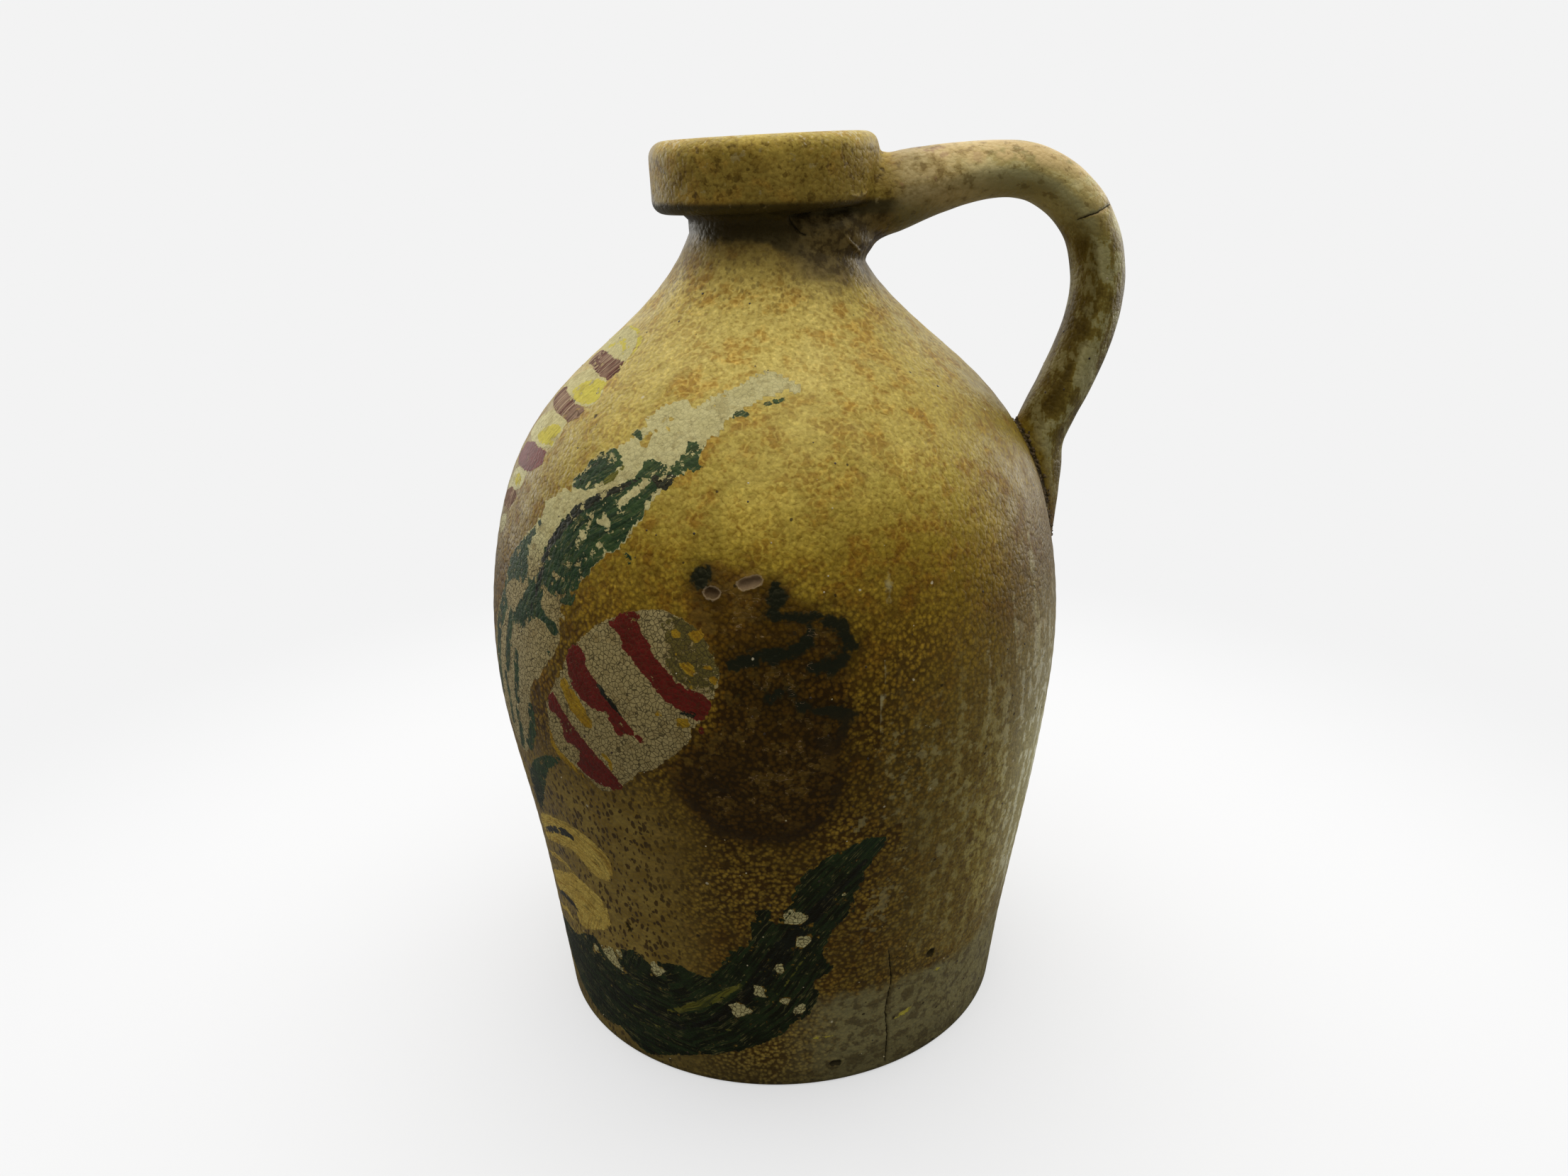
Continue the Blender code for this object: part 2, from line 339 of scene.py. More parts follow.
def run_tree(thing: bpy.types.Object, tree: bpy.types.NodeTree, values: dict[str, Any]) -> None:
    """Puts a Geometry Nodes tree on an object with its named inputs set.

    Args:
        thing: The object that the tree works on.
        tree: The tree.
        values: The value of each named input.
    """
    modifier = thing.modifiers.new(tree.name, "NODES")
    modifier.node_group = tree
    sockets = {
        item.name: item.identifier
        for item in tree.interface.items_tree
        if item.item_type == "SOCKET" and item.in_out == "INPUT"
    }
    for name, value in values.items():
        modifier[sockets[name]] = value


def plain_mesh(thing: bpy.types.Object) -> bpy.types.Mesh:
    """The mesh that an object's modifiers give it, and the object is removed.

    Args:
        thing: The object with the modifiers.

    Returns:
        The finished mesh.
    """
    depsgraph = bpy.context.evaluated_depsgraph_get()
    mesh = bpy.data.meshes.new_from_object(
        thing.evaluated_get(depsgraph), preserve_all_data_layers=True, depsgraph=depsgraph
    )
    bpy.data.objects.remove(thing, do_unlink=True)
    return mesh


def show(name: str, mesh: bpy.types.Mesh) -> bpy.types.Object:
    """An object in the scene for a mesh."""
    thing = bpy.data.objects.new(name, mesh)
    bpy.context.scene.collection.objects.link(thing)
    return thing


def line_mesh(name: str, points: Sequence[Sequence[float]]) -> bpy.types.Mesh:
    """A mesh of points joined in a row."""
    mesh = bpy.data.meshes.new(name)
    mesh.from_pydata([tuple(p) for p in points], [(i, i + 1) for i in range(len(points) - 1)], [])
    return mesh


def corners_of(mesh: bpy.types.Mesh) -> np.ndarray:
    """The places of a mesh's vertices, one a row."""
    flat = np.empty(len(mesh.vertices) * 3)
    mesh.vertices.foreach_get("co", flat)
    return flat.reshape(-1, 3)


def normals_of(mesh: bpy.types.Mesh) -> np.ndarray:
    """The directions of a mesh's vertices, one a row."""
    flat = np.empty(len(mesh.vertices) * 3)
    mesh.vertices.foreach_get("normal", flat)
    return flat.reshape(-1, 3)


def move_corners(mesh: bpy.types.Mesh, places: np.ndarray) -> None:
    """Puts a mesh's vertices at new places."""
    mesh.vertices.foreach_set("co", places.ravel())
    mesh.update()


def keep_numbers(mesh: bpy.types.Mesh, name: str, values: np.ndarray) -> None:
    """Keeps one number for each vertex of a mesh under a name."""
    layer = mesh.attributes.get(name) or mesh.attributes.new(name, "FLOAT", "POINT")
    layer.data.foreach_set("value", np.asarray(values, np.float32))


def face_outward(mesh: bpy.types.Mesh) -> None:
    """Turns the faces of a closed mesh outward."""
    shape = bmesh.new()
    shape.from_mesh(mesh)
    bmesh.ops.recalc_face_normals(shape, faces=shape.faces)
    shape.to_mesh(mesh)
    shape.free()


@dataclass(frozen=True)
class JugForm:
    """Driving sizes of the thrown jug in millimetres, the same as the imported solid's."""

    wall: float = 7.8
    floor: float = 9.5
    floor_corner: float = 14.0
    mouth_radius: float = 21.0
    mouth_round: float = 4.0
    foot_radius: float = 93.2
    foot_chamfer: float = 0.6
    rises: tuple[float, ...] = (41.0, 54.0, 68.0, 41.0, 27.0, 24.0, 20.0, 17.0, 17.5)
    radii: tuple[float, ...] = (97.8, 105.4, 112.2, 106.6, 96.7, 78.5, 55.9, 39.2, 28.8)
    collar_rise: float = 7.0
    collar_overhang: float = 12.7
    collar_height: float = 24.8
    collar_top_round: float = 5.8
    collar_under_round: float = 4.8
    rim_drift: float = 1.9
    wall_sway: float = 1.0
    sway_height: float = 80.0
    sway_reach: float = 65.0
    collar_tilt: float = 1.8
    arc_steps: int = 9

    @cached_property
    def heights(self) -> np.ndarray:
        """The height of each station up the wall."""
        return np.concatenate([[0.0], np.cumsum(self.rises)])

    @cached_property
    def widths(self) -> np.ndarray:
        """The outer radius at each station."""
        return np.array([self.foot_radius, *self.radii])

    @cached_property
    def bends(self) -> np.ndarray:
        """Second derivatives of the natural cubic through the stations."""
        gaps = np.diff(self.heights)
        slopes = np.diff(self.widths) / gaps
        matrix = np.eye(len(self.heights))
        right = np.zeros(len(self.heights))
        for i in range(1, len(gaps)):
            matrix[i, i - 1 : i + 2] = gaps[i - 1], 2 * (gaps[i - 1] + gaps[i]), gaps[i]
            right[i] = 6 * (slopes[i] - slopes[i - 1])
        return np.linalg.solve(matrix, right)

    @property
    def neck_height(self) -> float:
        """Where the wall ends and the collar's throat starts."""
        return float(self.heights[-1])

    @property
    def underside(self) -> float:
        """The height of the collar's underside."""
        return self.neck_height + self.collar_rise

    @property
    def rim(self) -> float:
        """The height of the collar's top."""
        return self.underside + self.collar_height

    @property
    def collar_radius(self) -> float:
        """The collar's outer radius."""
        return self.radii[-1] + self.collar_overhang

    def radius(self, height: np.ndarray | float) -> np.ndarray:
        """The outer wall's radius at heights between the foot and the neck.

        Args:
            height: Millimetres above the table.

        Returns:
            Radii in millimetres.
        """
        height = np.clip(height, 0.0, self.neck_height)
        index = np.clip(np.searchsorted(self.heights, height) - 1, 0, len(self.rises) - 1)
        gap = self.heights[index + 1] - self.heights[index]
        up = (height - self.heights[index]) / gap
        down = 1 - up
        bend = (down**3 - down) * self.bends[index] + (up**3 - up) * self.bends[index + 1]
        return down * self.widths[index] + up * self.widths[index + 1] + bend * gap**2 / 6

    def slope(self, height: float) -> float:
        """How fast the outer wall's radius grows with height."""
        return float(self.radius(height + 0.5) - self.radius(height - 0.5))

    def outside(self, step: float) -> list[Place]:
        """The outer outline as (radius, height), from the rim's middle out and down to the foot's middle.

        Args:
            step: The longest gap between points, in millimetres.

        Returns:
            The outline's points.
        """
        top = self.collar_radius - self.collar_top_round, self.rim - self.collar_top_round
        under = self.collar_radius - self.collar_under_round, self.underside + self.collar_under_round
        neck = self.radii[-1]
        throat = [
            (neck + self.collar_rise / 3, self.underside), (neck, self.underside - self.collar_rise / 3)
        ]
        low = self.foot_chamfer
        falling = np.linspace(self.neck_height, low, round((self.neck_height - low) / (step * 0.9)) + 1)
        wall = [(float(self.radius(h)), float(h)) for h in falling]
        collar = (
            spaced([(0.0, self.rim), (self.mouth_radius, self.rim)], step * 5)
            + quarter_round(top, self.collar_top_round, 90.0, -90.0, self.arc_steps)
            + quarter_round(under, self.collar_under_round, 0.0, -90.0, self.arc_steps)
            + throat
        )
        foot = spaced([(self.foot_radius - low, 0.0), (0.0, 0.0)], step * 5)
        return spaced(collar + wall, step)[:-1] + wall[-1:] + foot

    def hollow(self, step: float) -> list[Place]:
        """The hollow's outline as (radius, height), from above the mouth to the middle of the floor.

        Args:
            step: The longest gap between points, in millimetres.

        Returns:
            The outline's points.
        """
        above = self.rim + self.mouth_round
        lip = self.mouth_radius + self.mouth_round, self.rim - self.mouth_round
        low = self.floor + self.floor_corner
        falling = np.linspace(self.neck_height, low, round((self.neck_height - low) / step) + 1)
        inner = []
        for height in falling:
            leaning = self.wall * math.sqrt(1 + min(self.slope(height) ** 2, 1.0))
            inner.append((max(float(self.radius(height)) - leaning, self.mouth_radius), float(height)))
        corner = inner[-1][0] - self.floor_corner, low
        return (
            [(0.0, above), (lip[0], above)]
            + quarter_round(lip, self.mouth_round, 90.0, 90.0, self.arc_steps)
            + inner
            + quarter_round(corner, self.floor_corner, 0.0, -90.0, self.arc_steps)[1:]
            + [(corner[0] / 2, self.floor), (0.0, self.floor)]
        )

    def lean(self, points: np.ndarray) -> np.ndarray:
        """Where the hand-thrown lean and the tilted collar carry points of the upright shape.

        Args:
            points: Places in metres, one a row.

        Returns:
            The leaning places.
        """
        mm = points / MM
        height = mm[:, 2].copy()
        pivot = self.neck_height - self.rises[-1]
        angle = math.radians(self.collar_tilt) * ease((height - pivot) / self.rises[-1])
        across, up = mm[:, 0].copy(), height - pivot
        sway = self.wall_sway * ease(1 - np.abs(height - self.sway_height) / self.sway_reach)
        mm[:, 0] = across * np.cos(angle) - up * np.sin(angle) + self.rim_drift * height / self.rim + sway
        mm[:, 2] = pivot + across * np.sin(angle) + up * np.cos(angle)
        return mm * MM

    def on_wall(self, places: Iterable[Place]) -> np.ndarray:
        """Points in space for places on the leaning wall.

        Args:
            places: Azimuths in degrees with heights in millimetres.

        Returns:
            Points in metres, one a row.
        """
        spots = np.array(list(places), float)
        angle, height = np.radians(spots[:, 0]), spots[:, 1]
        radius = self.radius(height)
        upright = np.column_stack([radius * np.cos(angle), radius * np.sin(angle), height])
        return self.lean(upright * MM)


@dataclass
class ThrownBody:
    """The wall and the hollow, turned on the wheel by one Geometry Nodes tree."""

    form: JugForm
    columns: int = 264
    front_crowding: float = 0.42
    wall_step: float = 2.0
    hollow_columns: int = 112
    hollow_step: float = 8.0
    ring_pitch: float = 6.5
    ring_depth: float = 0.05
    wobble_size: float = 55.0
    wobble_depth: float = 0.35
    dimple_size: float = 9.0
    dimple_depth: float = 0.07

    def tree(self) -> bpy.types.NodeTree:
        """The tree that turns a profile round the axis, with the rings and dents that a hand leaves."""
        metres = ("Float", 0.0)
        wiring, given, result = new_group(
            "GeometryNodeTree",
            "turned_wall",
            {
                "Profile": ("Geometry", None),
                "Columns": ("Int", 64),
                "Front Crowding": metres,
                "Ring Pitch": ("Float", 0.01),
                "Ring Depth": metres,
                "Wobble Size": ("Float", 0.05),
                "Wobble Depth": metres,
                "Dimple Size": ("Float", 0.01),
                "Dimple Depth": metres,
                "Clay": ("Material", None),
            },
            {"Wall": "Geometry"},
        )
        take = given.outputs
        rows = wiring.add("GeometryNodeAttributeDomainSize", {0: take["Profile"]}).outputs["Point Count"]
        across = wiring.plus(take["Columns"], 1.0)
        grid = wiring.add("GeometryNodeMeshGrid", {"Vertices X": across, "Vertices Y": rows})
        index = wiring.add("GeometryNodeInputIndex").outputs[0]
        row = wiring.math("MODULO", index, rows)
        column = wiring.math("FLOOR", wiring.math("DIVIDE", index, rows))
        position = wiring.add("GeometryNodeInputPosition").outputs[0]
        sampled = wiring.add("GeometryNodeSampleIndex", data_type="FLOAT_VECTOR")
        for name, value in {"Geometry": take["Profile"], "Value": position, "Index": row}.items():
            wiring.feed(sampled.inputs[name], value)
        spot = wiring.add("ShaderNodeSeparateXYZ", {0: sampled.outputs[0]}).outputs
        turn = wiring.times(wiring.math("DIVIDE", column, take["Columns"]), math.tau)
        crowded = wiring.times(wiring.math("SINE", turn), take["Front Crowding"])
        angle = wiring.less(wiring.less(turn, crowded), math.pi / 2)
        cosine, sine = wiring.math("COSINE", angle), wiring.math("SINE", angle)
        smooth = self.around(wiring, spot[0], cosine, sine, spot[2])
        twist = wiring.times(wiring.math("DIVIDE", spot[2], take["Ring Pitch"]), math.tau)
        rings = wiring.times(wiring.math("SINE", wiring.plus(twist, angle)), take["Ring Depth"])
        foot_end = wiring.span(spot[2], 4 * MM, 20 * MM)
        neck_end = wiring.span(
            spot[2], (self.form.neck_height - 12) * MM, self.form.neck_height * MM, 1.0, 0.0
        )
        rings = wiring.times(rings, foot_end, neck_end)
        wobble = self.swell(wiring, smooth, take["Wobble Size"], take["Wobble Depth"])
        dimple = self.swell(wiring, smooth, take["Dimple Size"], take["Dimple Depth"])
        offset = wiring.plus(wobble, dimple, rings)
        near_axis = wiring.math("DIVIDE", spot[0], 30 * MM, clamp=True)
        standing = wiring.span(spot[2], 0.2 * MM, 8 * MM)
        offset = wiring.times(offset, near_axis, standing)
        radius = wiring.plus(spot[0], offset)
        moved = wiring.add(
            "GeometryNodeSetPosition",
            {"Geometry": grid.outputs[0], "Position": self.around(wiring, radius, cosine, sine, spot[2])},
        )
        closed = wiring.add("GeometryNodeMergeByDistance", {"Geometry": moved.outputs[0], "Distance": 5e-6})
        real = wiring.add("GeometryNodeRealizeInstances", {0: closed.outputs[0]})
        dressed = wiring.add(
            "GeometryNodeSetMaterial", {"Geometry": real.outputs[0], "Material": take["Clay"]}
        )
        wiring.feed(result.inputs[0], dressed.outputs[0])
        return wiring.tree

    @staticmethod
    def around(wiring: Wiring, radius: Any, cosine: Any, sine: Any, height: Any) -> Socket:
        """A place from its radius, the cosine and sine of its azimuth, and its height."""
        across = wiring.times(radius, cosine)
        along = wiring.times(radius, sine)
        return wiring.add("ShaderNodeCombineXYZ", {0: across, 1: along, 2: height}).outputs[0]

    @staticmethod
    def swell(wiring: Wiring, place: Any, size: Any, depth: Any) -> Socket:
        """Noise of a size and depth in metres, both ways from nothing."""
        cloud = wiring.noise(place, wiring.math("DIVIDE", 1.0, size), 1.0)
        return wiring.times(wiring.less(cloud, 0.5), wiring.times(depth, 2.0))

    def turn(
        self, name: str, outline: list[Place], tree: bpy.types.NodeTree, **values: Any
    ) -> bpy.types.Object:
        """Turns one outline into a closed, leaning solid.

        Args:
            name: The solid's name.
            outline: (radius, height) points in millimetres.
            tree: The turning tree.
            **values: The tree's inputs that change.

        Returns:
            The solid.
        """
        profile = show(name + "_profile", line_mesh(name, [(r * MM, 0.0, h * MM) for r, h in outline]))
        run_tree(profile, tree, {label.replace("_", " "): value for label, value in values.items()})
        mesh = plain_mesh(profile)
        move_corners(mesh, self.form.lean(corners_of(mesh)))
        face_outward(mesh)
        return show(name, mesh)

    def build(
        self, glaze: bpy.types.Material, slip: bpy.types.Material
    ) -> tuple[bpy.types.Object, bpy.types.Object]:
        """Makes the outer solid and the hollow.

        Args:
            glaze: The finish outside.
            slip: The finish inside.

        Returns:
            The outer solid and the hollow.
        """
        tree = self.tree()
        sizes = {
            "Ring_Pitch": self.ring_pitch * MM,
            "Wobble_Size": self.wobble_size * MM,
            "Dimple_Size": self.dimple_size * MM,
        }
        outer = self.turn(
            "outer_wall",
            self.form.outside(self.wall_step),
            tree,
            Columns=self.columns,
            Front_Crowding=self.front_crowding,
            Ring_Depth=self.ring_depth * MM,
            Wobble_Depth=self.wobble_depth * MM,
            Dimple_Depth=self.dimple_depth * MM,
            Clay=glaze,
            **sizes,
        )
        hollow = self.turn(
            "hollow",
            self.form.hollow(self.hollow_step),
            tree,
            Columns=self.hollow_columns,
            Clay=slip,
            **sizes,
        )
        return outer, hollow


@dataclass
class PulledHandle:
    """The strap handle, pulled from the collar out to the grip and down to the shoulder, in millimetres."""

    form: JugForm
    thickness: float = 19.4
    width: float = 27.0
    root_below_underside: float = 2.8
    root_start: float = 24.5
    root_swell: float = 1.55
    root_width_swell: float = 1.30
    crest_share: float = 0.565
    crest_above_underside: float = 12.1
    grip_below_crest: float = 40.8
    grip_beyond_landing: float = 17.9
    landing_height_on_shoulder: float = 3.0
    landing_standoff: float = 10.9
    tail_length: float = 54.0
    tail_standoff: float = -3.8
    tail_thickness: float = 8.0
    tail_width: float = 18.0
    taper_start: float = 3.3
    root_run: float = 0.35
    root_lift: float = 0.62
    round_run: float = 0.56
    grip_run: float = 0.34
    landing_run: float = 0.23
    tail_run: float = 0.41
    landing_flare: float = 0.10
    tail_flare: float = 0.03
    steps: int = 36
    around: int = 60
    grooves: float = 5.0
    groove_depth: float = 0.28
    ripple_size: float = 14.0
    ripple_depth: float = 0.35

    def route(self) -> np.ndarray:
        """The centreline's (x, z) in millimetres: root to crest, to grip, to landing, to tail."""
        form = self.form
        landing_height = float(form.heights[5]) + self.landing_height_on_shoulder
        landing = np.array([float(form.radius(landing_height)) + self.landing_standoff, landing_height])
        crest_height = form.underside + self.crest_above_underside
        grip = np.array([landing[0] + self.grip_beyond_landing, crest_height - self.grip_below_crest])
        reach = grip[0] - form.collar_radius
        crest = np.array([form.collar_radius + reach * self.crest_share, crest_height])
        root = np.array([form.mouth_radius, form.underside - self.root_below_underside])
        tail_height = landing_height - self.tail_length
        tail = np.array([float(form.radius(tail_height)) + self.tail_standoff, tail_height])
        neck_side = np.array([form.radii[-1] + form.rim_drift, root[1]])
        across = np.array([crest[0] - neck_side[0], 0.0])
        rise = np.array([0.0, crest[1] - root[1]])
        drop = grip[1] - landing[1]
        upward = grip - landing
        upward = upward / np.linalg.norm(upward) + np.array([self.landing_flare, 0.0])
        pulls = [
            (
                root,
                neck_side + across * self.root_run + rise * self.root_lift,
                crest - across * self.root_run,
                crest,
            ),
            (
                crest,
                crest + np.array([(grip[0] - crest[0]) * self.round_run, 0.0]),
                grip + np.array([0.0, self.grip_below_crest * self.round_run]),
                grip,
            ),
            (
                grip,
                grip - np.array([0.0, drop * self.grip_run]),
                landing + upward * drop * self.grip_run,
                landing,
            ),
            (
                landing,
                landing - upward * self.tail_length * self.landing_run,
                tail + np.array([self.tail_flare, self.tail_run]) * self.tail_length,
                tail,
            ),
        ]
        share = np.linspace(0.0, 1.0, self.steps, endpoint=False)[:, None]
        rest = 1 - share
        stretches = [
            a * rest**3 + b * 3 * rest**2 * share + c * 3 * rest * share**2 + d * share**3
            for a, b, c, d in pulls
        ]
        return np.vstack([*stretches, tail])

    def sections(self) -> tuple[np.ndarray, np.ndarray]:
        """Half thickness and half width at each point of the route, in millimetres."""
        stretch = np.arange(4 * self.steps + 1) / self.steps
        swell = 1 - ease(stretch)
        taper = ease((stretch - self.taper_start) / (4 - self.taper_start))
        thickness = self.thickness * (1 + (self.root_swell - 1) * swell)
        width = self.width * (1 + (self.root_width_swell - 1) * swell)
        thickness += (self.tail_thickness - thickness) * taper
        width += (self.tail_width - width) * taper
        return thickness / 2, width / 2

    def tree(self) -> bpy.types.NodeTree:
        """The tree that sweeps an oval along the route, with the grooves that wet fingers pull in it."""
        wiring, given, result = new_group(
            "GeometryNodeTree",
            "pulled_strap",
            {
                "Route": ("Geometry", None),
                "Around": ("Int", 32),
                "Grooves": ("Float", 4.0),
                "Groove Depth": ("Float", 0.0),
                "Ripple Size": ("Float", 0.01),
                "Ripple Depth": ("Float", 0.0),
                "Clay": ("Material", None),
            },
            {"Strap": "Geometry"},
        )
        take = given.outputs
        rings = wiring.add("GeometryNodeAttributeDomainSize", {0: take["Route"]}).outputs["Point Count"]
        spokes = wiring.plus(take["Around"], 1.0)
        grid = wiring.add("GeometryNodeMeshGrid", {"Vertices X": rings, "Vertices Y": spokes})
        index = wiring.add("GeometryNodeInputIndex").outputs[0]
        ring = wiring.math("FLOOR", wiring.math("DIVIDE", index, spokes))
        spoke = wiring.math("MODULO", index, spokes)
        position = wiring.add("GeometryNodeInputPosition").outputs[0]

        def sampled(value: Socket, kind: str, shift: float) -> Socket:
            """Reads the route some points before or after this ring."""
            node = wiring.add("GeometryNodeSampleIndex", data_type=kind, clamp=True)
            sockets = {"Geometry": take["Route"], "Value": value, "Index": wiring.plus(ring, shift)}
            for name, source in sockets.items():
                wiring.feed(node.inputs[name], source)
            return node.outputs[0]

        def half(name: str) -> Socket:
            """Reads a half size kept on the route."""
            node = wiring.add("GeometryNodeInputNamedAttribute", {"Name": name}, data_type="FLOAT")
            return sampled(node.outputs[0], "FLOAT", 0.0)

        centre = sampled(position, "FLOAT_VECTOR", 0.0)
        ahead = sampled(position, "FLOAT_VECTOR", 2.0)
        behind = sampled(position, "FLOAT_VECTOR", -2.0)
        along = wiring.vector("NORMALIZE", wiring.vector("SUBTRACT", ahead, behind))
        outward = wiring.vector("NORMALIZE", wiring.vector("CROSS_PRODUCT", (0.0, 1.0, 0.0), along))
        angle = wiring.times(wiring.math("DIVIDE", spoke, take["Around"]), math.tau)
        thick, wide = half("half_thickness"), half("half_width")
        drift = wiring.noise(centre, 30.0, 1.0)
        wave = wiring.times_plus(angle, take["Grooves"], wiring.times(drift, 6.0))
        groove = wiring.times(wiring.math("SINE", wave), take["Groove Depth"])
        out = wiring.times(wiring.math("COSINE", angle), thick)
        side = wiring.times(wiring.math("SINE", angle), wide)
        sideways = wiring.add("ShaderNodeCombineXYZ", {1: side}).outputs[0]
        oval = wiring.vector("ADD", wiring.scaled(outward, out), sideways)
        smooth = wiring.vector("ADD", centre, oval)
        ripple = ThrownBody.swell(wiring, smooth, take["Ripple Size"], take["Ripple Depth"])
        closed_end = wiring.math("DIVIDE", thick, 4 * MM, clamp=True)
        offset = wiring.times(wiring.plus(groove, ripple), closed_end)
        push = wiring.scaled(wiring.vector("NORMALIZE", oval), offset)
        moved = wiring.add(
            "GeometryNodeSetPosition",
            {"Geometry": grid.outputs[0], "Position": wiring.vector("ADD", smooth, push)},
        )
        closed = wiring.add("GeometryNodeMergeByDistance", {"Geometry": moved.outputs[0], "Distance": 5e-6})
        real = wiring.add("GeometryNodeRealizeInstances", {0: closed.outputs[0]})
        dressed = wiring.add(
            "GeometryNodeSetMaterial", {"Geometry": real.outputs[0], "Material": take["Clay"]}
        )
        wiring.feed(result.inputs[0], dressed.outputs[0])
        return wiring.tree

    def build(self, glaze: bpy.types.Material) -> bpy.types.Object:
        """Makes the closed handle.

        Args:
            glaze: Its finish.

        Returns:
            The handle.
        """
        route = self.route()
        halves = self.sections()
        inside = route[:, 0] > self.root_start
        route = route[inside]
        ends = [0, *range(len(route)), len(route) - 1]
        mesh = line_mesh("strap_route", [(x * MM, 0.0, z * MM) for x, z in route[ends]])
        for name, values in zip(("half_thickness", "half_width"), halves):
            kept = values[inside][ends] * MM
            kept[[0, -1]] = 0.0
            keep_numbers(mesh, name, kept)
        strap = show("strap_route", mesh)
        values = {
            "Around": self.around,
            "Grooves": self.grooves,
            "Groove Depth": self.groove_depth * MM,
            "Ripple Size": self.ripple_size * MM,
            "Ripple Depth": self.ripple_depth * MM,
            "Clay": glaze,
        }
        run_tree(strap, self.tree(), values)
        swept = plain_mesh(strap)
        face_outward(swept)
        return show("handle", swept)


@dataclass
class SmearedWeb:
    """Clay smeared round the neck under the handle's root: the neck's own round, moved towards the handle."""

    form: JugForm
    offset: float = 12.8
    height: float = 33.0
    below_underside: float = 8.6
    smear_depth: float = 0.5
    smear_size: float = 7.0

    def build(self, glaze: bpy.types.Material) -> bpy.types.Object:
        """Makes the closed web.

        Args:
            glaze: Its finish.

        Returns:
            The web.
        """
        shape = bmesh.new()
        bmesh.ops.create_uvsphere(shape, u_segments=96, v_segments=44, radius=1.0)
        radius = self.form.radii[-1]
        size = Matrix.Diagonal((radius * MM, radius * MM, self.height / 2 * MM, 1.0))
        centre = Vector((self.offset * MM, 0.0, (self.form.underside - self.below_underside) * MM))
        bmesh.ops.transform(shape, matrix=Matrix.Translation(centre) @ size, verts=shape.verts)
        for vertex in shape.verts:
            outward = (vertex.co - centre).normalized()
            vertex.co += outward * noise.noise(vertex.co / (self.smear_size * MM)) * self.smear_depth * MM
        mesh = bpy.data.meshes.new("web")
        shape.to_mesh(mesh)
        shape.free()
        mesh.materials.append(glaze)
        return show("web", mesh)


class FlawKind(Enum):
    """How a flaw changes the fired surface."""

    CRACK = "crack"
    RIDGE = "ridge"
    PIT = "pit"


@dataclass(frozen=True)
class Flaw:
    """One crack, ridge or pit: what it is, the places that it passes, and its size in millimetres.

    The places are azimuths and heights, or on the handle's side the distance along X and the height.
    """

    kind: FlawKind
    places: tuple[Place, ...]
    width: float
    depth: float
    wander: float = 0.0
    on_handle: bool = False


FLAWS = (
    Flaw(
        FlawKind.CRACK,
        ((293.0, 61.0), (294.5, 45.0), (293.8, 30.0), (295.0, 16.0), (295.0, 1.5)),
        0.35,
        0.9,
        0.5,
    ),
    Flaw(FlawKind.CRACK, ((302.0, 315.6), (294.0, 315.0), (286.0, 314.6)), 0.7, 1.4, 0.2),
    Flaw(FlawKind.CRACK, ((286.5, 314.4), (289.5, 312.0), (293.5, 309.5), (297.0, 308.5)), 0.5, 0.8, 0.2),
    Flaw(FlawKind.CRACK, ((112.0, 311.0), (117.5, 313.0), (125.0, 316.0)), 0.3, 0.6, 0.3, on_handle=True),
    Flaw(FlawKind.RIDGE, ((318.5, 308.5), (324.0, 305.5), (331.0, 303.0), (338.0, 300.5)), 0.45, 0.5, 0.3),
    Flaw(FlawKind.RIDGE, ((314.0, 321.5), (322.0, 320.8), (328.0, 322.5)), 0.5, 0.5, 0.3),
    Flaw(FlawKind.RIDGE, ((126.5, 281.0), (127.5, 276.0), (126.5, 271.0)), 0.35, 0.3, 0.2, on_handle=True),
    Flaw(FlawKind.PIT, ((259.2, 206.0), (259.9, 205.7)), 2.0, 1.1),
    Flaw(FlawKind.PIT, ((264.9, 208.6), (267.3, 209.8)), 1.8, 1.2),
    Flaw(FlawKind.PIT, ((304.3, 51.0),), 2.3, 1.4),
    Flaw(FlawKind.PIT, ((281.4, 9.4), (282.8, 9.2)), 1.6, 1.0),
    Flaw(FlawKind.PIT, ((235.6, 68.0), (236.2, 66.0)), 1.2, 0.7),
    Flaw(FlawKind.PIT, ((287.0, 96.5),), 0.6, 0.5),
    Flaw(FlawKind.PIT, ((311.0, 331.0),), 0.5, 0.5),
    Flaw(FlawKind.PIT, ((150.0, 122.0), (151.0, 123.0)), 1.3, 0.9),
    Flaw(FlawKind.PIT, ((62.0, 70.0),), 1.0, 0.8),
)


class PaintLayer(Enum):
    """The cold paints, from the one laid first to the one laid last."""

    CREAM = "cream"
    OLIVE = "olive"
    OCHRE = "ochre"
    YELLOW = "yellow"
    CRIMSON = "crimson"
    MAUVE = "mauve"
    GREEN = "green"
    LIME = "lime"
    INK = "ink"


@dataclass(frozen=True)
class Area:
    """A painted area: its paint and its outline on the wall. A bare area shows what is under that paint."""

    paint: PaintLayer
    outline: tuple[Place, ...]
    bare: bool = False
    rounding: int = 1


@dataclass(frozen=True)
class Stroke:
    """A brush stroke: its paint, the places that it passes, and its width at each in millimetres."""

    paint: PaintLayer
    places: tuple[Place, ...]
    widths: tuple[float, ...]
    bare: bool = False


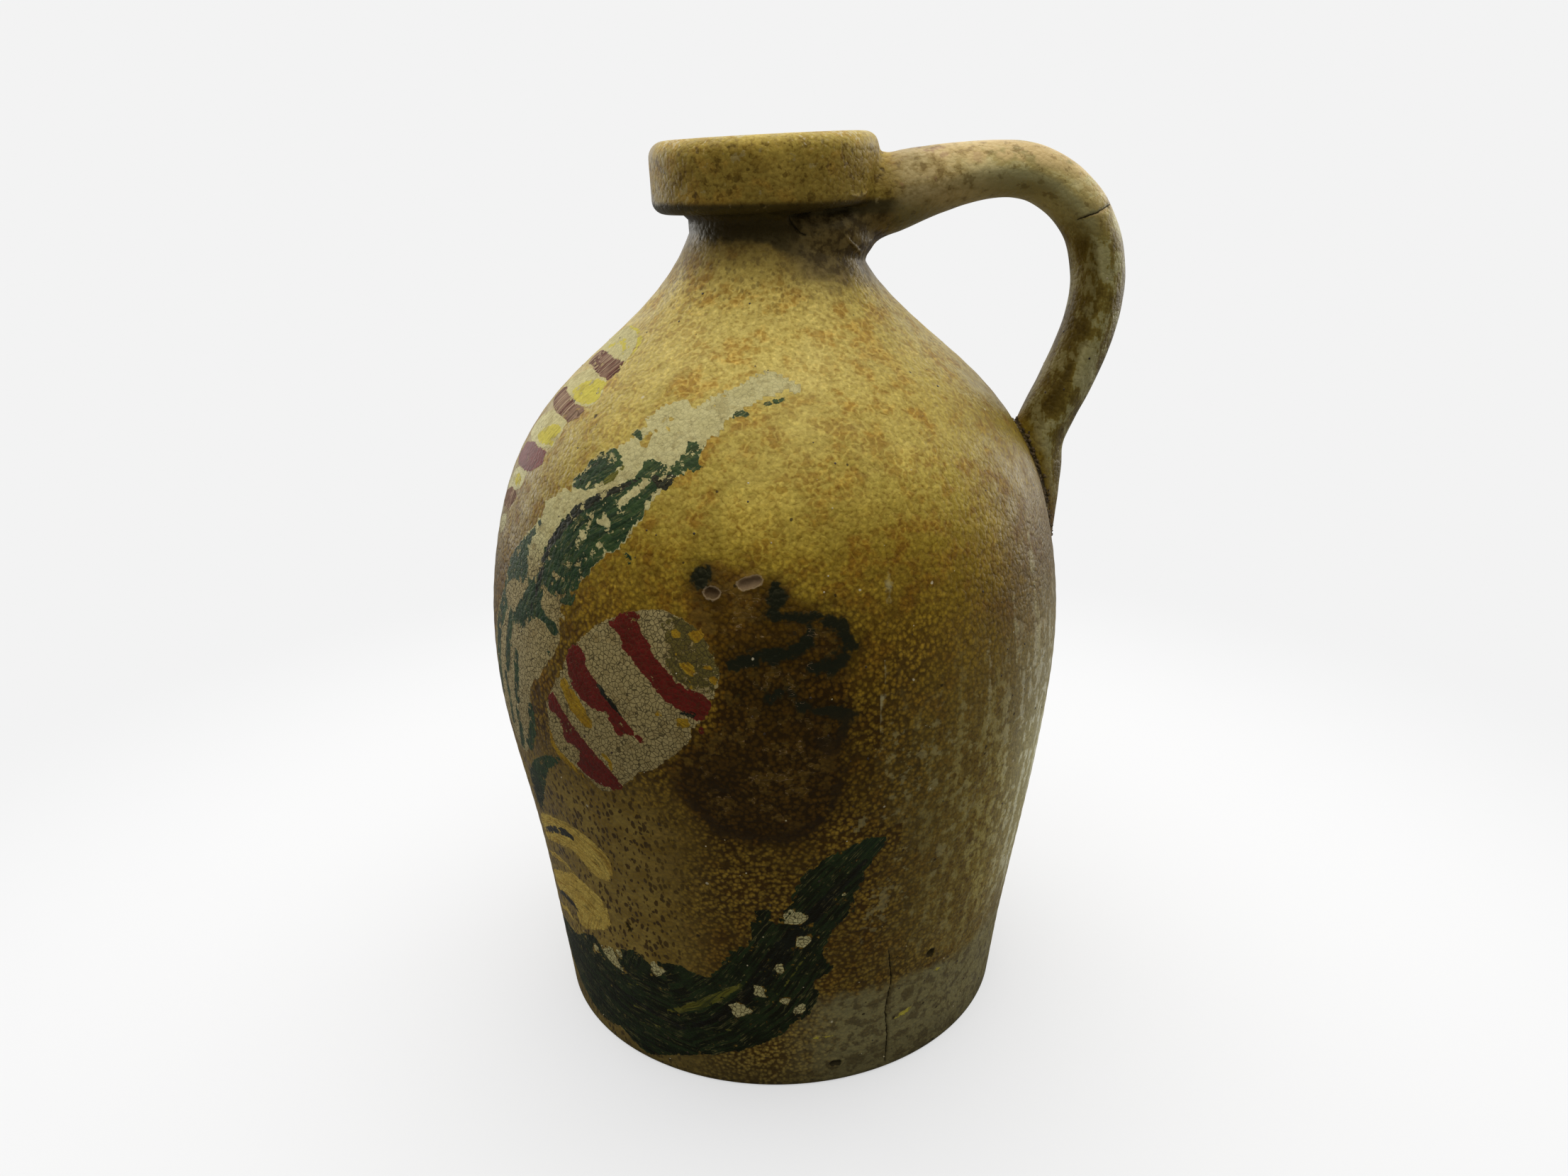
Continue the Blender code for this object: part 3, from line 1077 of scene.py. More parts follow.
def chip(azimuth: float, height: float, reach: float, turn: float = 0.0) -> tuple[Place, ...]:
    """The uneven outline of a small flake of lost paint.

    Args:
        azimuth: Its middle, in degrees round the wall.
        height: Its middle, in millimetres.
        reach: About half its size in millimetres.
        turn: Which way its corners lie, in degrees.

    Returns:
        The outline.
    """
    stretch = (1.0, 0.55, 0.95, 0.6, 1.1, 0.7, 0.85)
    step = math.tau / len(stretch)
    return tuple(
        (
            azimuth + 0.6 * reach * share * math.cos(index * step + math.radians(turn)),
            height + reach * share * math.sin(index * step + math.radians(turn)),
        )
        for index, share in enumerate(stretch)
    )


def leaf_spray() -> list[Area | Stroke]:
    """The worn leaf on the shoulder: a cream ground, green over its lower side, a dark rib and pale gaps."""
    cream, green, ink, lime = PaintLayer.CREAM, PaintLayer.GREEN, PaintLayer.INK, PaintLayer.LIME
    ground = (
        (280.5, 262.5), (277, 265), (272, 267.5), (268, 268.5), (262, 264.5), (257, 262.5), (252, 259),
        (250.5, 256.8), (249, 260), (245, 260), (240, 256), (236, 249.5), (230, 243), (226, 235.5),
        (223, 229.5), (218, 225), (216.5, 218), (213, 211), (208, 201), (206, 189), (200, 172), (198, 158),
        (199, 140), (204, 128), (209, 124), (214, 131), (218, 141), (220, 152), (222, 166), (227.5, 177),
        (230, 189), (229, 195), (233, 204), (238, 213), (243, 218.5), (246, 228), (250, 237), (254, 243),
        (258, 251), (262, 256), (270, 260.5),
    )
    main = (
        (254.3, 249.8), (251.8, 248.7), (251.5, 246.4), (249.6, 242), (247.8, 241.4), (245, 243.5),
        (243, 243.3), (241.8, 240.2), (238.2, 234.8), (232.4, 229.6), (225.9, 222.1), (222.5, 212.2),
        (221, 203), (215.7, 192.3), (212.6, 183.2), (213.6, 178.7), (217.1, 180.8), (221.3, 187.3),
        (224, 186.3), (227.2, 182), (228.9, 185.7), (226, 188.4), (222.7, 191), (223.2, 198.8), (227, 196.4),
        (228, 194.6), (231.6, 195.4), (232.5, 201.9), (236.5, 211.9), (241.6, 217.9), (243.5, 224.3),
        (245.3, 227.1), (245.6, 232.6), (249.8, 238.8), (253.2, 240), (255.5, 242),
    )
    strand = (
        (217.8, 221.6), (217.5, 217.6), (214.5, 212.9), (208.2, 201.7), (207.2, 196.3), (205, 186),
        (210.4, 195.5), (215.4, 195.7), (217.1, 198.9), (216.1, 209), (219.3, 218.3),
    )
    runs = (
        (((207, 185), (203, 172), (201, 158), (200, 146)), 7.0),
        (((211, 182), (209.6, 172), (208, 160)), 5.0),
        (((206, 156), (207, 146), (206, 136)), 3.6),
        (((213.5, 169), (213, 160), (212, 150)), 4.4),
        (((211, 144), (211, 136), (209, 128)), 4.0),
        (((218, 150), (217.5, 142), (214, 132)), 5.0),
    )
    lobe = (
        (234.3, 245.4), (230.9, 243.9), (227.3, 240.2), (227.5, 237.2), (224.8, 234.5), (226, 231.7),
        (228.6, 231), (231.5, 233), (234.3, 236.1), (236.3, 238.4), (237.1, 241.5),
    )
    shapes: list[Area | Stroke] = [Area(cream, ground)]
    shapes += [Area(green, outline, rounding=0) for outline in (main, strand, lobe)]
    strokes = (
        ((267.5, 259), (270.2, 259.6), (272.4, 260.6)),
        ((260, 255.4), (261.4, 256.8), (263.6, 256.6)),
        ((236.6, 249.2), (237.6, 250.2), (239, 248.5)),
        ((241.4, 216.2), (243.3, 213.1)),
        ((223.5, 172.7), (225.8, 177.2)),
    )
    shapes += [Stroke(green, places, (0.6,) + (1.9,) * (len(places) - 1)) for places in strokes]
    shapes += [Stroke(green, places, (width,) * len(places)) for places, width in runs]
    gap = ((220.5, 164), (224, 160), (222.5, 150), (219.6, 141), (217, 139), (218, 149), (218.6, 158))
    shapes.append(Area(cream, gap, True, 0))
    shapes.append(
        Stroke(green, ((238.8, 229.5), (241.3, 233.4), (243.8, 236.7), (245.1, 239)), (2, 2.6, 2.2, 1), True)
    )
    chips = (
        (236.7, 223.8, 2.4), (231.6, 218.3, 2.6), (233.7, 225, 1.4), (242.2, 217.6, 2.2), (226.5, 203, 1.6)
    )
    chips += (
        (240.3, 226.5, 1.0), (229.5, 209, 1.3), (236.5, 215.5, 1.2), (234.2, 231.4, 1.2), (221.5, 182, 1.6)
    )
    shapes += [Area(green, chip(*place, 40.0 * index), True, 0) for index, place in enumerate(chips)]
    holes = (
        (244.4, 254), (245.8, 252), (242.9, 250.8), (240.8, 248), (251.8, 254.9), (243.4, 247.8), (245.9, 255)
    )
    shapes += [Area(cream, chip(*hole, 0.55, 70.0 * index), True, 0) for index, hole in enumerate(holes)]
    rib = (
        (242.3, 237.9), (238.3, 234.3), (232.4, 229.6), (228.8, 225.1), (225.6, 218.8), (223.5, 213.1),
        (221.7, 206.2), (221.1, 197.9), (218.9, 186.7),
    )
    shapes.append(Stroke(ink, rib, (1.2, 2.2, 3.0, 3.8, 3.6, 3.2, 2.8, 2.4, 1.2)))
    shapes.append(Stroke(ink, ((245.4, 238.3), (247.9, 236.7), (249.2, 238.3)), (2.4, 4.6, 3.6)))
    shapes.append(Stroke(lime, ((232.4, 233.2), (235, 236.7), (237.2, 240.1)), (1.2, 2.8, 1.6)))
    return shapes


def striped_bud() -> list[Area | Stroke]:
    """The bud: a cream oval with crimson bands, ochre between them and a flecked olive tip."""
    cream, crimson, ochre, ink = PaintLayer.CREAM, PaintLayer.CRIMSON, PaintLayer.OCHRE, PaintLayer.INK
    outline = (
        (240, 194.2), (245.7, 198.3), (249.6, 199.8), (254.3, 197.5), (258.6, 190.4), (260.5, 181.8),
        (260.3, 177.2), (258.7, 168.9), (257.7, 164.2), (255.8, 160.9), (255.5, 157.3), (252.2, 150.7),
        (249.7, 146.2), (248, 143.4), (244.8, 141.6), (243.8, 137.7), (241.5, 135), (239.3, 131.5),
        (236.4, 128.6), (234.4, 131.5), (230.8, 135.1), (227.5, 136.3), (225.4, 139.5), (224, 144.3),
        (224.3, 157.3), (225.6, 162.5), (228.9, 170.1), (230.1, 177.3), (233.2, 183.7), (237.6, 191.6),
    )
    first = (
        (245.7, 198.3), (246, 194.5), (247.2, 190.2), (250.1, 181.6), (254.4, 174.9), (259, 172.3),
        (258.8, 168.4), (257.2, 162.6), (255.5, 164.9), (252.6, 167.7), (248.8, 173.7), (244, 183.3),
        (242.2, 188.9), (240, 192.9), (242.3, 196.7),
    )
    second = (
        (233.2, 183.7), (234.3, 182.6), (235.5, 176.3), (238.7, 168.7), (243.7, 158.9), (247, 153.8),
        (246.5, 152.6), (244.4, 155.5), (242.7, 155.1), (241.9, 153.2), (240.7, 156.6), (239.7, 162),
        (236.3, 161.1), (233.7, 163.8), (230.6, 172.1), (230.2, 176.9), (231.2, 180.3),
    )
    third = (
        (224.6, 160.3), (224.7, 154.9), (226.6, 154.4), (228.2, 150.5), (228.1, 145.4), (231.7, 143.7),
        (232.2, 140.6), (231.1, 137), (234.1, 132.5), (238.9, 131.2), (241.3, 132.8), (240.2, 137.7),
        (236.5, 143.1), (233.2, 148.5), (229.7, 154.6), (227.4, 160.3), (226.3, 162.9),
    )
    glow = (
        (229.4, 171.4), (232, 165.5), (235.2, 159.3), (236.1, 156), (235.5, 152.5), (232, 156),
        (229.5, 163.1), (228.6, 166.8),
    )
    tip = (
        (251, 197.4), (253.6, 198.3), (256.6, 194.2), (259.9, 186.4), (260.5, 181.8), (260.3, 177.2),
        (259.3, 173.7), (256.6, 173.4), (252.2, 178.3), (250.9, 183.2), (251.9, 190.8), (250.6, 193.7),
    )
    flecks = (
        (253.1, 192.4, 2.2), (256.4, 192.4, 2.8), (253.4, 185.5, 1.6), (255.4, 181.2, 3.0),
        (259.1, 182.2, 1.8), (256.1, 175.7, 1.9), (259.7, 178.1, 1.6), (249.9, 165.3, 1.9),
        (253.8, 162.5, 2.8),
    )
    edge = ((224, 146), (224.3, 141.1), (226, 137.6), (228.6, 135.4), (232.7, 132.2))
    shapes: list[Area | Stroke] = [
        Area(cream, outline),
        Area(PaintLayer.OLIVE, tip),
        Area(crimson, first),
        Area(crimson, second, rounding=0),
        Area(crimson, third, rounding=0),
        Area(ochre, glow),
        Stroke(ochre, edge, (1.5, 2.6, 2.8, 2.6, 1.5)),
        Stroke(ochre, ((237.6, 144.8), (239, 142.8), (239.4, 139)), (1.0, 1.8, 1.0)),
        Stroke(ink, ((236.9, 172.4), (238.4, 169.1), (240.4, 165.3), (242.9, 161.2)), (0.6, 1.8, 2.2, 0.8)),
        Stroke(ink, ((253.8, 166), (255.8, 165.7)), (1.6, 1.8)),
        Stroke(crimson, ((256.7, 161.6), (257.3, 159.6)), (1.4, 2.0)),
    ]
    shapes += [Area(ochre, chip(*fleck, 50.0 * index), rounding=0) for index, fleck in enumerate(flecks)]
    return shapes


def lower_garland() -> list[Area | Stroke]:
    """The dark green garland round the foot: teeth along its edge, a black heart, lime lines and flakes."""
    green, cream, ink, lime = PaintLayer.GREEN, PaintLayer.CREAM, PaintLayer.INK, PaintLayer.LIME
    outline = (
        (290, 114.5), (286.4, 116), (283.7, 113.9), (280.3, 111.9), (276.6, 107.2), (273.5, 101.4),
        (272.1, 92.5), (270, 83.4), (268, 80.9), (267.6, 88.2), (264.8, 87.6), (263.7, 72.9), (262.2, 68.5),
        (261.1, 70.1), (259.5, 67.1), (257, 59.5), (254.1, 52.3), (251.2, 52.9), (248, 55.9), (244.1, 55.5),
        (239.2, 52.4), (236.1, 56.5), (232.1, 53.2), (225.5, 47), (222.6, 51), (218, 48.5), (213, 42),
        (203, 40), (196, 34), (199, 21), (207, 11), (214.8, 7.1), (220, 6.2), (227.1, 8.7), (231.6, 4.3),
        (235.6, 2.4), (246.5, 9.9), (256.7, 15.4), (262.7, 19.6), (269.7, 26.5), (272.5, 32.8), (275.7, 35.8),
        (277.8, 46.2), (275.8, 49.5), (276.5, 52.8), (281, 57.7), (278.1, 64), (279.1, 72.3), (280.8, 78.7),
        (283.6, 83.7), (283.8, 89.4), (286.3, 103.2), (289, 110),
    )
    chips = (
        (272.4, 84.0, 3.9), (274.1, 72.7, 3.2), (269.2, 60.1, 2.6), (264.8, 47.9, 3.0), (260.4, 38.3, 3.9),
        (270.2, 43.4, 2.0), (273.6, 39.0, 2.8), (241.7, 50.4, 3.4), (231.0, 50.5, 2.2), (227.7, 46.6, 4.4),
        (222.0, 45.0, 2.2), (230.4, 42.4, 1.7), (281.9, 105.0, 1.0), (284.0, 107.0, 0.8), (282.6, 92.0, 1.1),
    )
    heart = (
        (285.9, 106.6), (279.1, 92.7), (273.8, 80.5), (268.4, 64.5), (262.6, 46.3), (254.2, 31.4),
        (246.4, 24), (241.7, 25.7), (232.6, 29.9), (219.2, 30),
    )
    shapes: list[Area | Stroke] = [Area(green, outline, rounding=0)]
    shapes.append(Stroke(ink, heart, (1.6, 4.5, 8.0, 9.0, 6.0, 3.2, 2.6, 2.2, 2.2, 1.2)))
    for index, place in enumerate(chips):
        azimuth, height, reach = place
        flake = chip(azimuth, height, reach * 1.25, 37.0 * index)
        shapes += [Area(layer, flake, layer is not cream, 0) for layer in (green, ink, cream)]
    shapes.append(
        Stroke(lime, ((242.5, 30), (250.6, 37.3), (256.7, 45), (261.9, 52.6)), (1.4, 4.2, 4.0, 1.2))
    )
    for places in (
        ((228, 16.3), (237.1, 19.5), (244.4, 21.9)),
        ((250, 22.6), (256.2, 26.5), (261.7, 30.7)),
        ((227.1, 35.1), (232, 35.9), (235.6, 38.8)),
        ((222, 24.5), (231, 25), (240, 27.6)),
        ((266, 41), (271, 54), (274.5, 66)),
    ):
        shapes.append(Stroke(lime, places, (0.5, 1.0, 0.5)))
    return shapes


def side_scroll() -> list[Area | Stroke]:
    """The two broad yellow curls on the left, one in the other, and the green stroke above them."""
    ochre, ink, green = PaintLayer.OCHRE, PaintLayer.INK, PaintLayer.GREEN
    upper = (
        (204, 92), (211, 99), (218, 103), (223.3, 105.1), (227.2, 104.1), (230.3, 102.8), (232.7, 100),
        (234.1, 96.5), (234.3, 92.7), (233, 85.8), (227.8, 85), (225.9, 86.7), (224.5, 89.5), (221.9, 91.8),
        (218.4, 90.6), (212.7, 87.1), (205, 81),
    )
    lower = (
        (201, 62), (208, 69), (214.2, 74.4), (220.1, 78.1), (226.5, 76.5), (228.8, 73.8), (230, 69.3),
        (230.1, 65.3), (228.9, 60.7), (225.5, 57), (217.7, 50), (215, 53.6), (216.6, 58.2), (214.4, 60.7),
        (210.2, 59.8), (203.2, 54.9),
    )
    return [
        Area(ochre, upper),
        Area(ochre, lower),
        Stroke(ochre, ((203, 73), (210, 78), (216, 80), (219.5, 78)), (2.0, 2.6, 2.2, 1.2)),
        Stroke(ochre, ((202.6, 45.7), (209.3, 50.3), (212, 49)), (2.4, 3.0, 1.6)),
        Stroke(ochre, ((204.3, 38.3), (209.6, 41.4), (213.4, 43.1)), (0.8, 1.2, 0.8)),
        Stroke(
            ink,
            ((205, 85.5), (211, 91.5), (216, 96), (220.3, 98.9), (223.2, 98.4)),
            (1.4, 3.0, 3.2, 3.4, 2.0),
        ),
        Stroke(
            ink,
            ((203, 53.5), (208, 57.4), (211.6, 58.9), (214.7, 59), (216.6, 57.4)),
            (1.2, 2.6, 2.6, 2.4, 1),
        ),
        Area(
            green,
            (
                (213.4, 125), (220.5, 133.6), (225.6, 136), (226, 134.6), (220.3, 126.9), (217, 117.7),
                (210, 98.2), (207.2, 100.4), (208, 114.1),
            ),
            rounding=0,
        ),
    ]


def band_column() -> list[Area | Stroke]:
    """The column of broad scalloped bands down the left shoulder, cream and yellow between mauve ones."""
    cream, mauve, yellow, crimson = PaintLayer.CREAM, PaintLayer.MAUVE, PaintLayer.YELLOW, PaintLayer.CRIMSON
    pale = (
        (
            (182, 268), (181, 273), (192.5, 277.5), (207, 277.5), (214.4, 274.7), (217.3, 270.3),
            (218, 267.4), (200, 267),
        ),
        (
            (184, 254), (190, 260), (200.9, 264.6), (210.5, 263), (217, 262.5), (218.9, 255.9),
            (214.8, 253.8), (200, 253),
        ),
        (
            (186, 240), (192, 247), (200.4, 250.4), (206.5, 249.6), (212.4, 249), (212.6, 243.5),
            (211.8, 239.6), (200, 238),
        ),
        ((190, 222), (196, 229), (202, 231.6), (205.8, 230.4), (205.6, 225), (200, 221), (192, 219)),
        ((190, 206), (198, 213.5), (201.5, 212), (199, 205), (192, 203)),
    )
    bands = (
        (
            (190.5, 263.7), (186.6, 265.2), (187.4, 267.6), (191.5, 268.8), (203.3, 268.9), (210.3, 268.2),
            (217, 268.3), (218, 265.5), (216.6, 262.6), (209.3, 262.8), (199, 264.2),
        ),
        (
            (191.5, 250.4), (187.2, 251.6), (186.8, 254.2), (191.2, 255.9), (203.7, 255.1), (209.4, 254.1),
            (215.4, 253.9), (215.6, 251.2), (212.7, 248.7), (207.1, 249.2), (198, 250),
        ),
        ((188, 216), (197.7, 222.4), (203, 222.8), (204.4, 220.7), (201, 215.6), (194, 213.5)),
    )
    dabs = (
        (
            (200.7, 256.4), (203.6, 259.9), (210.9, 262.2), (217, 261.6), (218.4, 256.4), (214.4, 254.4),
            (208, 254.6),
        ),
        ((199, 241.2), (203, 245.4), (207.6, 247.2), (211.4, 246.3), (211.4, 240.8), (204.3, 239.8)),
        ((196, 225), (200, 228), (204.4, 227.5), (203, 223.5)),
    )
    tip = (
        (190, 230), (192, 236.4), (200.2, 239), (205.2, 238.6), (210.4, 239.2), (211.4, 235.1),
        (206.2, 230.5), (198, 229.6),
    )
    shapes: list[Area | Stroke] = [Area(cream, outline, rounding=1) for outline in pale]
    shapes += [Area(yellow, outline, rounding=0) for outline in dabs]
    shapes += [Area(mauve, outline, rounding=0) for outline in bands]
    shapes += [Area(crimson, tip, rounding=0)]
    shapes.append(
        Stroke(yellow, ((196, 277), (207.8, 277), (215.7, 274.3), (218, 268.7)), (1.0, 1.6, 1.8, 1.0))
    )
    for low, high in ((270.6, 274.8), (268.9, 275.6)):
        shapes.append(Stroke(yellow, ((194, low), (203, high - 2), (212, low + 1.4)), (1.0, 1.8, 1.2)))
    return shapes


def stray_dabs() -> list[Area | Stroke]:
    """The small stray strokes near the foot."""
    ochre = PaintLayer.YELLOW
    return [
        Stroke(ochre, ((296, 24.4), (299, 25.4), (302.5, 27.6)), (1.4, 2.4, 0.9)),
        Stroke(ochre, ((276.3, 23.7), (279.2, 23.8), (282.1, 23.3)), (0.6, 1.0, 0.6)),
        Stroke(ochre, ((306, 41), (307.5, 40)), (1.2, 1.6)),
    ]


SCORCH = (
    (255.5, 210.6), (256.9, 213.2), (260.6, 214.7), (265.4, 214.9), (268.9, 212.4), (272.1, 207.2),
    (276.2, 202.3), (280.4, 197.9), (283.2, 192.8), (283.4, 187.3), (281.9, 182.2), (282.1, 173.8),
    (281.4, 157.2), (280.7, 145.8), (279.4, 130.5), (277.2, 122.4), (272.7, 117.9), (267.5, 116.4),
    (262.4, 118), (257.7, 122.5), (253.5, 130.4), (250.5, 139.2), (252.4, 153.9), (258.2, 159.9),
    (260.4, 176.7), (259.1, 186.2), (255.8, 195.1),
)
SCORCH_BLOTS = (
    (((256.6, 212.0), (257.4, 208.2)), (5.0, 4.2)),
    (((268.9, 207.9), (270.3, 204.1), (269.2, 199.6)), (4.0, 5.8, 5.4)),
    (((268.8, 199.1), (273.4, 198.8), (277.6, 197.8), (280.9, 195), (282, 190)), (3.4, 4.0, 5.0, 6.0, 5.4)),
    (((282, 190), (281.5, 186), (279.6, 183), (276.4, 182.6)), (5.4, 5.0, 4.4, 2.4)),
    (((274.6, 190.4), (272.0, 187.5), (267.7, 186.4), (262.6, 184.4)), (5.4, 6.0, 5.4, 4.6)),
    (((276.0, 181.8), (279.2, 182.4)), (4.2, 5.4)),
    (((263.6, 174.6), (266.6, 175.4)), (1.6, 1.6)),
    (((268.9, 168.6), (268.4, 172.4), (270.0, 174.8), (272.7, 173.3)), (2.4, 2.8, 2.0, 1.2)),
    (((273.5, 169.9), (276.5, 167.8), (279.2, 167.4), (281.2, 164.8)), (2.8, 3.6, 4.8, 4.6)),
    (((281.2, 165), (280.9, 158.9), (279.2, 154.4), (276.8, 156.0)), (4.4, 4.2, 4.4, 3.4)),
    (((280.7, 145.8), (279.7, 137.9), (278.7, 129.8), (275, 122)), (1.8, 2.6, 3.6, 3.4)),
    (
        ((275, 122), (270.5, 119), (264.3, 120.8), (259.5, 122), (255.4, 130.6), (253, 139.4)),
        (3.4, 4.0, 3.4, 3, 2.6, 1),
    ),
    (((258.4, 141), (260.8, 139.6)), (3.4, 3.0)),
)
DRIPS = (
    (((329.6, 214), (327.7, 206), (327.4, 198), (327.0, 188), (327.4, 178), (328.3, 160), (330, 146)),
     (0.6, 1.8, 2.6, 2.8, 3.4, 3.6, 1.0)),
    (((288.4, 193), (287.8, 182), (287.4, 170), (286.9, 156)), (0.4, 1.0, 1.2, 0.6)),
    (((290.1, 211), (289.9, 206), (289.7, 200)), (0.4, 1.2, 0.6)),
    (((283.8, 172), (283.4, 160), (283.0, 150)), (0.2, 0.9, 0.4)),
    (((310.0, 180), (310.4, 160), (311.0, 128)), (0.2, 1.6, 0.8)),
    (((318.5, 196), (318.6, 170), (319.0, 120)), (0.2, 1.4, 0.8)),
)
BRUSH_GUIDES = (
    (
        (286, 107), (279, 92.7), (273.8, 80.5), (268.4, 64.5), (262.6, 46.3), (254.2, 31.4), (246.4, 24),
        (232.6, 27), (215, 33), (200, 36),
    ),
    (
        (280.5, 262.5), (268, 263), (256, 254), (246, 245), (238.3, 234.3), (228.8, 225.1), (223.5, 213.1),
        (221, 197.9), (216, 180), (209, 160), (205, 140),
    ),
    ((243, 197), (246, 185), (251, 174), (258, 166)),
    ((232, 182), (236, 167), (243, 156), (247, 152)),
    ((225, 160), (230, 148), (235, 138), (241, 132)),
    ((205, 90), (214, 98), (224, 100), (231, 95), (233, 87)),
    ((202, 60), (211, 67), (221, 71), (228, 65), (226, 57)),
)


def beside(places: np.ndarray, normals: np.ndarray, path: np.ndarray) -> tuple[np.ndarray, ...]:
    """Where places lie from a path on the surface.

    Args:
        places: The places in metres, one a row.
        normals: The surface's normals there.
        path: The path's points in metres.

    Returns:
        The signed distance across the path, the distance past its end and the whole distance, all in
        millimetres, and how many of the path's points have gone by.
    """
    gap, along, nearest = nearest_on_line(places, path)
    index = np.minimum(along.astype(int), len(path) - 2)
    tangent = path[index + 1] - path[index]
    tangent /= np.linalg.norm(tangent, axis=1)[:, None]
    away = places - nearest
    across = np.einsum("ij,ij->i", away, np.cross(tangent, normals)) / MM
    past = np.abs(np.einsum("ij,ij->i", away, tangent)) / MM
    return across, past, gap / MM, along


def rounded(outline: np.ndarray, rounds: int) -> np.ndarray:
    """A closed outline with its corners cut.

    Args:
        outline: The corners, one a row.
        rounds: How many times the corners are cut.

    Returns:
        The softer outline.
    """
    for _ in range(rounds):
        after = np.roll(outline, -1, axis=0)
        outline = np.stack(
            [outline * 0.75 + after * 0.25, outline * 0.25 + after * 0.75], axis=1
        ).reshape(-1, 2)
    return outline


def inside(spots: np.ndarray, outline: np.ndarray) -> np.ndarray:
    """Whether each place on the wall is inside a closed outline.

    Args:
        spots: Azimuths and heights, one a row.
        outline: The outline's corners, one a row.

    Returns:
        True for each place inside.
    """
    within = np.zeros(len(spots), bool)
    for start, end in zip(outline, np.roll(outline, -1, axis=0)):
        spans = (start[1] > spots[:, 1]) != (end[1] > spots[:, 1])
        rise = end[1] - start[1] if end[1] != start[1] else 1e-9
        crossing = start[0] + (spots[:, 1] - start[1]) / rise * (end[0] - start[0])
        within ^= spans & (spots[:, 0] < crossing)
    return within


class Finish(IntEnum):
    """The jug's finishes, in the order of its material slots."""

    PLAIN_GLAZE = 0
    SLIP = 1
    BARE_FOOT = 2
    PAINTED_GLAZE = 3
    UPPER_GLAZE = 4


